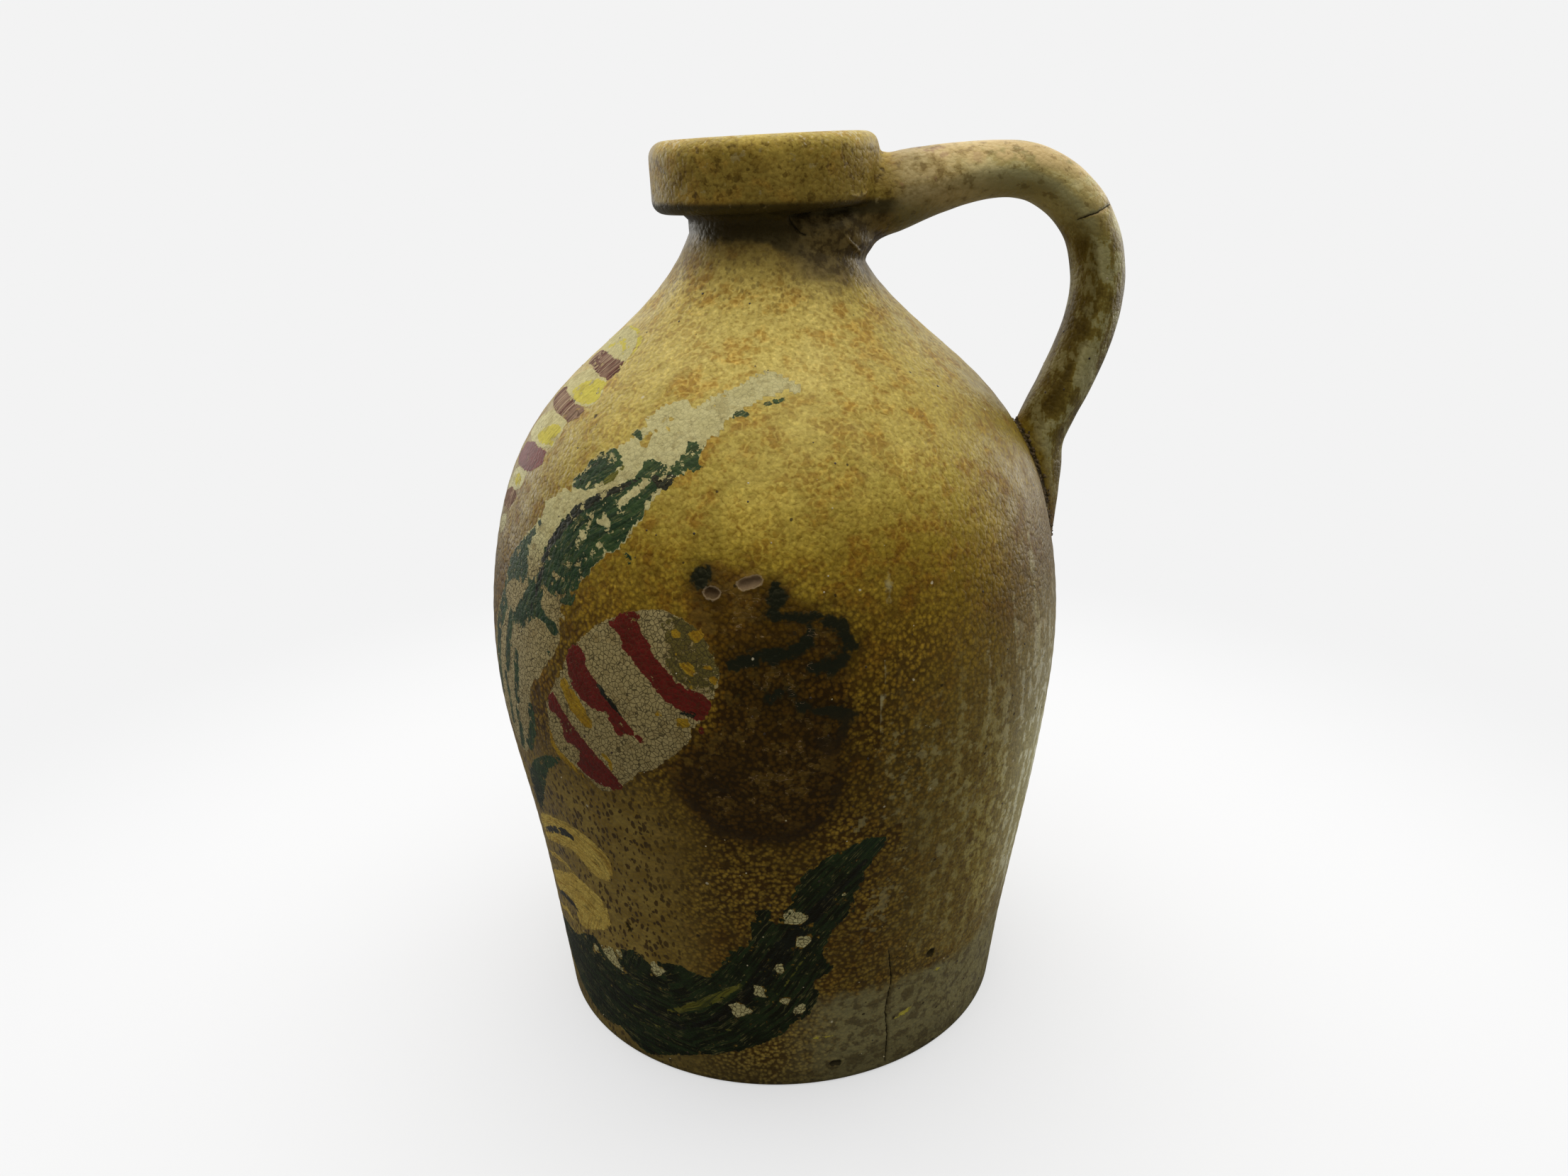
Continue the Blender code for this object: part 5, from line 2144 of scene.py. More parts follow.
@dataclass(frozen=True)
class SaltGlaze:
    """The salt glaze of the outer wall, collar and handle, with its scorch, grime, paint, flaws, and painted
    light and shade.
    """

    form: JugForm
    pebble_size: float = 1.6
    pit_spacing: float = 2.0
    pebble_depth: float = 0.20
    gloss: float = 0.42

    # Colours up the wall by share of the rim's height. They are partly the glaze's own kiln colour and partly
    # painted light: the shoulder lighter and the lower wall darker as under light from above, a painted
    # shadow in the dip at the collar's underside, and a painted highlight on the collar's top edge at the
    # last stop.
    bands: tuple[tuple[float, Colour], ...] = (
        (0.00, (0.200, 0.138, 0.030)),
        (0.09, (0.210, 0.138, 0.024)),
        (0.24, (0.180, 0.110, 0.014)),
        (0.43, (0.140, 0.080, 0.007)),
        (0.55, (0.210, 0.125, 0.010)),
        (0.62, (0.300, 0.198, 0.018)),
        (0.69, (0.410, 0.298, 0.045)),
        (0.78, (0.470, 0.350, 0.070)),
        (0.84, (0.470, 0.345, 0.066)),
        (0.885, (0.380, 0.265, 0.045)),
        (0.905, (0.290, 0.185, 0.030)),
        (0.928, (0.180, 0.125, 0.024)),
        (0.940, (0.280, 0.195, 0.034)),
        (0.975, (0.315, 0.215, 0.036)),
        (1.00, (0.480, 0.345, 0.058)),
    )

    def build(self, material: bpy.types.Material, groups: Groups, zone: GlazeZone) -> bpy.types.Material:
        """Wires the glaze of one zone.

        Args:
            material: The material that is wired.
            groups: The shared node groups by name.
            zone: The part of the surface that it covers.

        Returns:
            The material.
        """
        coat = Coat(material, self.gloss, groups)
        steps = {
            GlazeZone.PLAIN: (self.ground, self.pebbles, self.top_light_and_foot_dirt, self.streaks, self.specks),
            GlazeZone.PAINTED: (self.ground, self.pebbles, self.top_light_and_foot_dirt, self.scorch, self.specks, self.paint),
            GlazeZone.UPPER: (self.ground, self.pebbles, self.neck, self.collar, self.handle),
        }
        for step in (*steps[zone], self.flaws):
            step(coat)
        return coat.fire(IOR=1.5, Specular_IOR_Level=0.3, Specular_Tint=(1.0, 0.84, 0.42, 1.0))

    def ground(self, coat: Coat) -> None:
        """The bands of ochre and brown up the wall, partly painted light and shade, with soft clouds in them,
        painted shade towards the shoulder's sides and a painted highlight in its middle.
        """
        wiring = coat.wiring
        height = wiring.math("DIVIDE", coat.xyz[2], self.form.rim * MM)
        sway = coat.sway(Cloud.SWAY)
        on_body = coat.up(250, 290, 0.11, 0.015)
        # The bands carry painted light and shade up the wall as well as the glaze's colour.
        coat.colour = wiring.ramp(wiring.times_plus(sway, on_body, height), self.bands)
        clouds = coat.noise(Cloud.BROAD)
        coat.tint(wiring.span(clouds, 0.50, 0.70), (1.30, 1.30, 1.35))
        calm = coat.up(150, 215, 1.0, 0.1)
        coat.tint(wiring.times(wiring.span(clouds, 0.48, 0.30), calm), (0.72, 0.67, 0.52))
        blush = wiring.times(coat.spots(Cloud.PATCHES, 0.48, 0.62), wiring.span(clouds, 0.58, 0.45))
        coat.tint(blush, (1.02, 0.82, 0.60), 0.6)
        # Painted shade: the shoulder darker towards both sides, left and right.
        painted_side_shade = wiring.span(wiring.math("ABSOLUTE", coat.xyz[0]), 50 * MM, 88 * MM)
        painted_side_shade = wiring.times(painted_side_shade, coat.level(165, 195, 255, 280))
        coat.tint(painted_side_shade, (0.62, 0.58, 0.38))
        # Painted highlight: the upper shoulder lighter and bluer in its middle, front and back.
        middle = wiring.span(wiring.math("ABSOLUTE", coat.xyz[0]), 44 * MM, 12 * MM)
        middle = wiring.times(middle, coat.level(252, 272, 291, 300))
        coat.tint(middle, (1.20, 1.23, 1.42))
        lift = coat.spots(Cloud.PATCHES, 0.50, 0.36)
        coat.tint(lift, (1.10, 1.14, 1.20), 0.6)

    def pebbles(self, coat: Coat) -> None:
        """The orange-peel skin: pale worms high up, golden pebbles lower, and dark pits low on the left."""
        wiring = coat.wiring
        fine = coat.group("skin", Pebble_Size=self.pebble_size * MM, Waver=0.8)
        clouds = coat.spots(Cloud.BROAD, 0.40, 0.58)
        upper = coat.level(165, 215, 300, 316)
        worm = coat.noise(Cloud.WORMS)
        ridge = wiring.near(worm, 0.5, 0.02, 0.10)
        patchy = wiring.times_plus(coat.spots(Cloud.PATCHES, 0.45, 0.60), 0.60, 0.15)
        between = wiring.times(wiring.less(1.0, ridge), wiring.times(upper, patchy))
        coat.tint(between, (0.72, 0.57, 0.33))
        coat.tint(wiring.times(ridge, upper), (1.24, 1.26, 1.42), 0.6)
        low_left = wiring.times(coat.across(-16, -56), coat.up(150, 112))
        low_left = wiring.times(low_left, coat.back(45, -5, 0.15, 1.0))
        lower = coat.up(235, 165, 0.10, 1.0)
        calm = wiring.times(coat.across(72, 42, 0.60, 1.0), wiring.span(low_left, 0.0, 1.0, 1.0, 0.25))
        strength = wiring.times(lower, calm, wiring.times_plus(clouds, 0.20, 0.80))
        coat.tint(wiring.times(fine["Hollows"], strength), (0.30, 0.22, 0.11))
        top = wiring.span(fine["Height"], 0.86, 0.985)
        coat.tint(wiring.times(top, strength), (1.75, 1.72, 1.60))
        grain = coat.noise(Cloud.GRIT)
        coat.tint(wiring.span(grain, 0.47, 0.34), (0.76, 0.70, 0.58))
        coat.tint(wiring.span(grain, 0.55, 0.68), (1.22, 1.22, 1.25))
        tan = wiring.mix(coat.spots(Cloud.PATCHES, 0.38, 0.60), (0.24, 0.150, 0.022), (0.38, 0.265, 0.060))
        coat.cover(low_left, tan, 0.62)
        tall = wiring.vector("MULTIPLY", coat.place, (1.0, 1.0, 0.62))
        coarse = coat.group("skin", Vector=tall, Pebble_Size=self.pit_spacing * MM, Waver=0.9)["Pits"]
        near_neck = coat.level(276, 294, 300, 312)
        pitted = wiring.math("MAXIMUM", low_left, wiring.times(near_neck, 0.5))
        pitted = wiring.times_plus(wiring.times(clouds, lower), 0.22, pitted)
        pits = wiring.times(coarse, wiring.math("MINIMUM", pitted, 1.0))
        coat.tint(pits, (0.17, 0.12, 0.07), 0.9)
        coat.raise_by(wiring.times(fine["Height"], self.pebble_depth))
        coat.raise_by(wiring.times(worm, self.pebble_depth * 0.8))
        coat.raise_by(wiring.times(grain, 0.06))
        coat.roughness = coat.spots(Cloud.PATCHES, 0.3, 0.7, self.gloss - 0.10, self.gloss + 0.14)

    def top_light_and_foot_dirt(self, coat: Coat) -> None:
        """Painted light paling what faces up, in clouds, dirt round the foot, and the greyer foot on the
        right.
        """
        wiring = coat.wiring
        # Painted light: what faces up is painted paler, as if lit from above.
        up = coat.facing()[2]
        cloudy = coat.spots(Cloud.BROAD, 0.35, 0.65)
        share = wiring.times(wiring.span(up, 0.40, 0.85), cloudy, 0.28)
        coat.cover(share, (0.50, 0.42, 0.15), roughness=0.5)
        turn = coat.across(-8, 26)
        waver = wiring.times_plus(coat.noise(Cloud.PATCHES), 14 * MM, coat.xyz[2])
        grey = wiring.times(turn, wiring.span(waver, 54 * MM, 47 * MM))
        smudge = coat.spots(Cloud.FLECKS, 0.54, 0.40)
        tone = wiring.mix(smudge, (0.27, 0.235, 0.10), (0.13, 0.105, 0.045))
        coat.cover(grey, tone, 0.85)
        low = wiring.span(wiring.times_plus(coat.noise(Cloud.BROAD), 24 * MM, coat.xyz[2]), 32 * MM, 16 * MM)
        coat.cover(low, (0.075, 0.058, 0.020), 0.45, roughness=0.55)

    def streaks(self, coat: Coat) -> None:
        """The tan right side with its pale runs, patches of pale skin, a painted reflection along the right
        edge, and drips of thicker glaze.
        """
        wiring = coat.wiring
        drawn = wiring.vector("MULTIPLY", coat.place, (1.0, 1.0, 0.16))
        level = coat.level(20, 70, 125, 205)
        side = wiring.times(coat.across(22, 76), level)
        runs = wiring.noise(drawn, 190.0, 3.0, 0.65)
        broken = coat.noise(Cloud.FLECKS)
        coat.cover(side, (0.310, 0.230, 0.048), 0.52)
        brown = wiring.times(wiring.span(runs, 0.50, 0.38), coat.across(12, 40))
        coat.tint(wiring.times(brown, level), (0.62, 0.52, 0.36), 0.55)
        mottle = wiring.span(broken, 0.46, 0.34)
        coat.tint(wiring.times(mottle, side), (0.58, 0.48, 0.34), 0.8)
        pattern = wiring.plus(wiring.times(runs, 0.50), wiring.times(broken, 0.50))
        pale = wiring.times_plus(side, 0.05, pattern)
        coat.cover(wiring.times(wiring.span(pale, 0.54, 0.61), side), (0.50, 0.42, 0.145), 0.42)
        grit = coat.group("skin", Pebble_Size=self.pit_spacing * MM, Waver=1.3)["Pits"]
        coat.tint(wiring.times(grit, side), (0.38, 0.29, 0.17), 0.55)
        # Painted reflection: the right edge, on the front, painted pale and frosted as if it caught the
        # bright surroundings.
        edge = wiring.times(coat.across(74, 104), level)
        edge = wiring.times(edge, coat.back(20, -28, 0.2, 1.0))
        coat.cover(edge, (0.60, 0.54, 0.30), 0.62)
        painted_rim_reflection = wiring.times(wiring.span(pattern, 0.51, 0.56), edge)
        coat.cover(painted_rim_reflection, (0.80, 0.77, 0.60), 0.75)
        # Painted light: the lower right of the front painted lighter.
        lower = coat.across(58, 82)
        lower = wiring.times(lower, coat.level(45, 75, 118, 150))
        lower = wiring.times(lower, coat.back(25, -20))
        coat.tint(lower, (1.28, 1.31, 1.26))
        where = coat.band(coat.xyz[0], 4 * MM, 16 * MM, 60 * MM, 84 * MM)
        where = wiring.times(where, coat.level(50, 80, 150, 176))
        net = wiring.times_plus(coat.noise(Cloud.BROAD), 0.45, wiring.times(broken, 0.75))
        coat.cover(wiring.times(wiring.span(net, 0.64, 0.70), where), (0.33, 0.275, 0.115), 0.5)
        stray = wiring.times(wiring.less(broken, 0.5), 6.0)
        drips = wiring.span(wiring.plus(wiring.attribute("drips"), stray), -0.8, 0.9)
        coat.cover(drips, (0.46, 0.40, 0.20), 0.55)
        coat.raise_by(wiring.times(drips, 0.12))

    def neck(self, coat: Coat) -> None:
        """The painted shadow under the collar, a soft fringe and a dark band, and the brown clay smeared at
        the handle's root.
        """
        wiring = coat.wiring
        ragged = wiring.times(coat.sway(Cloud.PATCHES), 14 * MM)
        tilt = coat.across(-6, 24, -2 * MM, 6 * MM)
        height = wiring.plus(coat.xyz[2], tilt, ragged)
        under = coat.up(320.5, 318.5)
        # Painted shadow under the collar's overhang: a soft fringe, then a dark band up to the collar.
        painted_shadow_fringe = wiring.times(wiring.span(height, 288 * MM, 303 * MM), under)
        coat.cover(painted_shadow_fringe, (0.15, 0.095, 0.024), 0.45)
        band = wiring.times(wiring.span(height, 302 * MM, 306 * MM), under)
        coat.cover(band, (0.028, 0.020, 0.006), 0.88)
        smear = wiring.times(coat.across(4, 16), wiring.span(height, 292 * MM, 303 * MM))
        smear = wiring.times(smear, coat.up(318.5, 315))
        mottle = wiring.mix(coat.spots(Cloud.FLECKS, 0.40, 0.60), (0.060, 0.036, 0.010), (0.20, 0.14, 0.045))
        coat.cover(smear, mottle, 0.85)

    def collar(self, coat: Coat) -> None:
        """The collar's dented face, its pale flaked brim and a painted shadow line along its lower edge."""
        wiring = coat.wiring
        face = coat.level(315, 318, 338, 341)
        blotch = coat.noise(Cloud.PATCHES)
        coat.tint(wiring.times(wiring.span(blotch, 0.50, 0.38), face), (0.60, 0.50, 0.36), 0.6)
        coat.tint(wiring.times(wiring.span(blotch, 0.54, 0.66), face), (1.40, 1.42, 1.50), 0.6)
        spots = coat.spots(Cloud.FLECKS, 0.44, 0.37)
        coat.tint(wiring.times(spots, face), (0.42, 0.36, 0.24), 0.75)
        dents = wiring.times(coat.spots(Cloud.WORMS, 0.34, 0.27), face)
        coat.tint(dents, (0.25, 0.22, 0.16), 0.8)
        pale = coat.spots(Cloud.FLECKS, 0.62, 0.68)
        coat.cover(wiring.times(pale, face), (0.42, 0.33, 0.14), 0.5)
        # Painted shadow: a dark line along the collar's lower edge.
        painted_shadow_line = coat.level(314, 315.5, 317, 320)
        coat.cover(painted_shadow_line, (0.050, 0.040, 0.014), 0.75)
        brim = coat.up(335, 339)
        flaked = wiring.span(
            wiring.times_plus(blotch, 0.6, wiring.times(coat.noise(Cloud.GRIT), 0.4)), 0.57, 0.60
        )
        coat.cover(wiring.times(brim, flaked), (0.60, 0.52, 0.32), 0.7, roughness=0.7)

    def handle(self, coat: Coat) -> None:
        """The handle's mottled brown, olive and grey-green, drawn out lengthwise, pinker near its root, with
        painted light on its top and painted shade under it and on its inner side.
        """
        wiring = coat.wiring
        share = wiring.attribute("handle_share")
        down = coat.up(318, 290)
        level = wiring.noise(wiring.vector("MULTIPLY", coat.place, (0.55, 1.0, 1.0)), 110.0, 4.0, 0.7)
        upright = wiring.noise(wiring.vector("MULTIPLY", coat.place, (1.0, 1.0, 0.55)), 110.0, 4.0, 0.7)
        patches = wiring.blend(down, level, upright)
        stops = (
            (0.38, (0.120, 0.080, 0.012)),
            (0.46, (0.185, 0.130, 0.022)),
            (0.490, (0.235, 0.180, 0.040)),
            (0.510, (0.330, 0.285, 0.110)),
            (0.58, (0.390, 0.345, 0.150)),
            (0.66, (0.480, 0.430, 0.205)),
        )
        patches = wiring.less(patches, coat.up(318, 296, 0.0, 0.022))
        colour = wiring.ramp(patches, stops)
        facing = coat.facing()
        up = facing[2]
        even = wiring.times(coat.up(300, 322), 0.5)
        colour = wiring.mix(even, colour, (0.34, 0.275, 0.105))
        # Painted light: patches painted a paler tan where the handle faces up.
        tan = wiring.times(wiring.span(up, 0.25, 0.75), coat.spots(Cloud.PATCHES, 0.40, 0.52))
        colour = wiring.mix(wiring.times(tan, 0.7), colour, (0.46, 0.32, 0.13))
        below = wiring.times(wiring.span(up, 0.25, -0.15), coat.up(300, 312))
        colour = wiring.mix(wiring.times(below, 0.6), colour, (0.25, 0.235, 0.105))
        # Painted shade: darker where the handle faces down.
        colour = wiring.mix(wiring.span(up, -0.2, -0.8, 0.0, 0.45), colour, (0.14, 0.115, 0.045))
        pink = wiring.times(coat.across(92, 55), coat.up(312, 322))
        blotches = coat.spots(Cloud.FLECKS, 0.40, 0.60)
        tinge = wiring.mix(blotches, (0.30, 0.20, 0.065), (0.50, 0.37, 0.16))
        colour = wiring.mix(wiring.times(pink, 0.75), colour, tinge)
        mauve = wiring.times(pink, coat.spots(Cloud.PATCHES, 0.56, 0.62))
        colour = wiring.mix(wiring.times(mauve, 0.6), colour, (0.28, 0.15, 0.085))
        coat.cover(share, colour, roughness=0.42)
        dark = wiring.times(coat.spots(Cloud.FLECKS, 0.42, 0.35), share, 0.6)
        coat.tint(dark, (0.45, 0.38, 0.26))
        # Painted shade on the handle's inner side, which faces the body.
        painted_inner_shade = wiring.times(wiring.span(facing[0], -0.25, -0.60), coat.across(84, 94))
        painted_inner_shade = wiring.times(painted_inner_shade, 0.8, coat.up(318, 306))
        coat.tint(wiring.times(share, painted_inner_shade), (0.45, 0.41, 0.32))
        lit = wiring.times(coat.up(300, 314), coat.across(50, 72))
        coat.tint(wiring.times(share, lit), (1.60, 1.60, 1.68))
        seam = wiring.span(wiring.attribute("joint_gap"), 2.2, 0.7)
        seam = wiring.times(seam, coat.up(275, 262))
        grime = coat.group("grime", Cloud_Size=0.003, Amount=0.9)["Mask"]
        packed = wiring.times(seam, wiring.times_plus(grime, 0.4, 0.6))
        packed = wiring.times(packed, coat.up(202, 208))
        coat.cover(packed, (0.030, 0.020, 0.009), roughness=0.8)

    def scorch(self, coat: Coat) -> None:
        """The dark scorched patch beside the bud, with blue-black blotches along its edges."""
        wiring = coat.wiring
        middle = coat.sway(Cloud.PATCHES)
        small = coat.sway(Cloud.FLECKS)
        depth = wiring.times_plus(middle, 10.0, wiring.attribute("scorch"))
        body = wiring.span(depth, -2.5, 3.0)
        coat.tint(body, (0.46, 0.33, 0.22), 0.85)
        heart = wiring.times(wiring.span(depth, 1.0, 8.0), coat.up(195, 150, 0.50, 0.85))
        coat.cover(heart, (0.040, 0.018, 0.002), 0.70)
        clear = wiring.span(wiring.plus(middle, small), 0.03, 0.12)
        coat.cover(wiring.times(body, clear), (0.17, 0.10, 0.014), 0.5)
        cells = coat.group("skin", Pebble_Size=self.pebble_size * MM, Waver=0.8)
        coat.tint(wiring.times(cells["Hollows"], heart), (0.35, 0.25, 0.15), 0.6)
        edge = wiring.plus(wiring.times(middle, 6.0), wiring.times(small, 8.0))
        near = wiring.plus(wiring.attribute("scorch_blots"), edge)
        high = coat.up(150, 172)
        halo = wiring.mix(high, (0.52, 0.44, 0.34), (0.40, 0.40, 0.36))
        coat.tint(wiring.span(near, -6.5, -0.5, 0.0, 0.62), halo)
        ink = wiring.mix(high, (0.020, 0.009, 0.003), (0.006, 0.010, 0.006))
        inked = wiring.times(wiring.span(near, -0.8, 0.8), wiring.span(high, 0.0, 1.0, 0.76, 0.95))
        coat.cover(inked, ink, roughness=0.3)
        scratch = wiring.noise(wiring.vector("MULTIPLY", coat.place, (0.5, 0.5, 1.6)), 260.0, 2.0, 0.6)
        line = wiring.near(scratch, 0.5, 0.002, 0.009)
        worn = wiring.times(wiring.span(depth, 6.0, 10.0), wiring.span(clear, 0.5, 0.9))
        coat.cover(wiring.times(line, worn), (0.34, 0.22, 0.12), 0.6, roughness=0.6)

    def specks(self, coat: Coat) -> None:
        """Iron specks in the glaze and small pale chips."""
        iron = coat.group("specks", Spacing=0.0060, Size=0.10, Share=0.34)["Mask"]
        coat.cover(iron, (0.022, 0.013, 0.005), 0.85)
        chips = coat.group("specks", Spacing=0.0085, Size=0.055, Share=0.30)["Mask"]
        coat.cover(chips, (0.60, 0.52, 0.34), 0.8, roughness=0.6)

    def paint(self, coat: Coat) -> None:
        """The worn cold paints, each crackled and flaked over the one below, with painted shade lower on the
        wall and a painted rim light at the far left.
        """
        wiring = coat.wiring
        cells = wiring.add(
            "ShaderNodeTexVoronoi", {"Vector": coat.place, "Scale": 640.0}, feature="DISTANCE_TO_EDGE"
        )
        craze = wiring.span(cells.outputs["Distance"], 0.03, 0.10, 1.0, 0.0)
        craze = wiring.times(craze, coat.up(225, 200, 0.25, 1.0))
        bristles = wiring.add(
            "ShaderNodeCombineXYZ",
            {
                0: wiring.times(wiring.attribute("brush_across"), 0.75),
                1: wiring.times(wiring.attribute("brush_along"), 0.06),
            },
        ).outputs[0]
        brushed = wiring.noise(bristles, 1.0, 2.5, 0.65)
        dry = wiring.near(brushed, 0.53, 0.004, 0.022)
        dry = wiring.times(dry, coat.spots(Cloud.FLECKS, 0.48, 0.58))
        fine = coat.sway(Cloud.GRIT)
        broad = coat.sway(Cloud.FLECKS)
        stray = wiring.plus(wiring.times(fine, 2.2), wiring.times(broad, 3.2))
        flakes = wiring.noise(coat.place, 270.0, 4.0, 0.66)
        drift = coat.noise(Cloud.PATCHES)
        dirt = wiring.span(wiring.times_plus(drift, 0.5, wiring.times(flakes, 0.5)), 0.52, 0.40)
        # Painted shade: the paints are painted darker lower on the wall, cream between about 100 and 210 mm,
        # green and ink below about 120 mm.
        low = coat.up(215, 200)
        dark = coat.up(130, 100)
        for paint, look in PAINT_LOOKS.items():
            wear = look.wear
            if look.wear != look.upper_wear:
                wear = coat.up(115, 150, look.wear, look.upper_wear)
            mask = coat.group(
                "paint",
                Depth=wiring.attribute(f"paint_{paint.value}"),
                Stray=stray,
                Raggedness=look.raggedness * 0.42,
                Flakes=flakes,
                Wear=wear,
            )["Mask"]
            marks = wiring.times(wiring.span(brushed, 0.46, 0.62), look.brush)
            shade = wiring.math("MAXIMUM", marks, wiring.times(wiring.span(drift, 0.45, 0.66), 0.5))
            base: Any = look.colour
            second: Any = look.second
            # Painted shade: green and ink much darker low on the wall.
            if paint in (PaintLayer.GREEN, PaintLayer.INK):
                base = wiring.mix(dark, look.colour, (0.10, 0.16, 0.13), "MULTIPLY")
                second = wiring.mix(dark, look.second, (0.45, 0.50, 0.50), "MULTIPLY")
            colour = wiring.mix(shade, base, second)
            furrows = wiring.times(wiring.span(brushed, 0.46, 0.36), look.brush)
            colour = wiring.mix(furrows, colour, (0.45, 0.42, 0.40), "MULTIPLY")
            if paint is PaintLayer.OCHRE:
                colour = wiring.mix(coat.up(108, 118), colour, (0.62, 0.52, 0.14), "MULTIPLY")
            if paint is PaintLayer.CREAM:
                # Painted rim light: the cream paler towards the far left edge, as if it caught the bright
                # surroundings.
                edge = coat.across(-72, -98)
                colour = wiring.mix(wiring.times(edge, 0.4), colour, (0.80, 0.78, 0.52))
                # Painted shade: cream darker in the middle of the wall.
                colour = wiring.mix(
                    wiring.times(low, wiring.span(dark, 0.0, 1.0, 1.0, 0.0)),
                    colour,
                    (0.66, 0.58, 0.52),
                    "MULTIPLY",
                )
            if paint in (PaintLayer.GREEN, PaintLayer.INK, PaintLayer.LIME):
                thin = 0.35 if paint is PaintLayer.INK else 0.6
                colour = wiring.mix(wiring.times(dry, thin), colour, (0.26, 0.22, 0.075))
            colour = wiring.mix(wiring.times(dirt, 0.45), colour, (0.50, 0.42, 0.28), "MULTIPLY")
            colour = wiring.mix(wiring.times(craze, look.crackle), colour, (0.05, 0.038, 0.015))
            coat.cover(mask, colour, roughness=look.roughness)
        held = wiring.span(wiring.plus(wiring.attribute("paint_any"), stray), -0.12, 0.16)
        held = wiring.times(held, wiring.span(flakes, 0.385, 0.405))
        coat.raise_by(wiring.times(held, wiring.times_plus(craze, -0.5, 1.0), 0.09))

    def flaws(self, coat: Coat) -> None:
        """The dark of the cracks, the pale lips of the pits and the pale ridges of clay."""
        wiring = coat.wiring
        side = wiring.attribute("crack_side")
        beyond = wiring.attribute("crack_beyond")
        square = wiring.times_plus(side, side, wiring.times(beyond, beyond))
        gap = wiring.math("SQRT", square)
        rough = coat.sway(Cloud.GRIT)
        line = wiring.span(wiring.times_plus(rough, 0.6, gap), 0.12, 0.36, 1.0, 0.0)
        coat.cover(line, (0.010, 0.007, 0.003), 0.92, roughness=0.8)
        coat.cover(wiring.span(gap, 0.3, 1.4, 0.30, 0.0), (0.06, 0.045, 0.02))
        pit = wiring.times_plus(rough, 1.6, wiring.attribute("pit"))
        high = coat.up(185, 195)
        rim = wiring.span(wiring.math("ABSOLUTE", pit), 0.10, 0.45, 1.0, 0.0)
        coat.cover(wiring.times(rim, high), (0.40, 0.29, 0.17), 0.5, roughness=0.6)
        right = coat.across(-14.5, -13.5)
        inner = wiring.mix(right, (0.08, 0.045, 0.02), (0.20, 0.13, 0.07))
        inner = wiring.mix(high, (0.010, 0.007, 0.004), inner)
        coat.cover(wiring.span(pit, 0.0, -0.5), inner, 0.9, roughness=0.7)
        ridge = wiring.span(wiring.times_plus(rough, 1.2, wiring.attribute("ridge")), 0.6, 0.2)
        coat.cover(ridge, (0.34, 0.25, 0.10), 0.45)


@dataclass(frozen=True)
class DarkSlip:
    """The dark brown slip that lines the inside, up to the ochre of the mouth."""

    colour: Colour = (0.050, 0.024, 0.010)
    pale: Colour = (0.095, 0.050, 0.022)
    mouth: Colour = (0.24, 0.16, 0.05)
    mouth_start: float = 326.0

    def build(self, material: bpy.types.Material, groups: Groups) -> bpy.types.Material:
        """Wires the slip: clouded brown, faintly pebbled, with a little dust.

        Args:
            material: The material that is wired.
            groups: The shared node groups by name.

        Returns:
            The material.
        """
        coat = Coat(material, 0.30, groups)
        wiring = coat.wiring
        coat.colour = wiring.mix(
            wiring.span(wiring.noise(coat.place, 45.0, 3.0), 0.35, 0.65), self.colour, self.pale
        )
        skin = coat.group("skin", Pebble_Size=2.6 * MM, Waver=0.8)
        coat.raise_by(wiring.times(skin["Height"], 0.08))
        dust = coat.group("grime", Cloud_Size=0.02, Amount=0.5)["Mask"]
        coat.cover(dust, (0.22, 0.17, 0.10), 0.3, roughness=0.7)
        ragged = wiring.times_plus(wiring.noise(coat.place, 120.0, 3.0), 8 * MM, coat.xyz[2])
        lip = wiring.span(ragged, self.mouth_start * MM, (self.mouth_start + 5) * MM)
        coat.cover(lip, self.mouth, 0.85, roughness=0.45)
        return coat.fire(IOR=1.5)


@dataclass(frozen=True)
class BareFoot:
    """The unglazed underside: dry buff clay with the rings of the cutting wire and dirt round its edge."""

    colour: Colour = (0.42, 0.35, 0.24)
    ring_gap: float = 2.4
    ring_depth: float = 0.08

    def build(self, material: bpy.types.Material, groups: Groups) -> bpy.types.Material:
        """Wires the clay."""
        coat = Coat(material, 0.85, groups)
        wiring = coat.wiring
        flat = wiring.add("ShaderNodeCombineXYZ", {0: coat.xyz[0], 1: coat.xyz[1]}).outputs[0]
        away = wiring.vector("LENGTH", wiring.vector("SUBTRACT", flat, (0.018, -0.012, 0.0)), out="Value")
        sway = wiring.times(wiring.noise(coat.place, 30.0, 3.0), 4.0)
        wave = wiring.math("SINE", wiring.times_plus(away, math.tau / (self.ring_gap * MM), sway))
        coat.colour = wiring.mix(
            wiring.span(wiring.noise(coat.place, 60.0, 4.0), 0.3, 0.7), self.colour, (0.30, 0.235, 0.14)
        )
        coat.tint(wiring.span(wave, 0.2, 1.0, 0.0, 0.25), (0.7, 0.66, 0.6))
        coat.raise_by(wiring.times(wave, self.ring_depth))
        coat.raise_by(wiring.times(wiring.noise(coat.place, 1500.0, 3.0), 0.10))
        grime = coat.group("grime", Cloud_Size=0.02, Amount=0.55)["Mask"]
        rim = wiring.span(wiring.vector("LENGTH", flat, out="Value"), 76 * MM, 92 * MM, 0.35, 0.9)
        coat.cover(wiring.times(grime, rim), (0.11, 0.085, 0.045))
        specks = coat.group("specks", Spacing=0.005, Size=0.12, Share=0.5)["Mask"]
        coat.cover(specks, (0.06, 0.035, 0.015))
        return coat.fire()


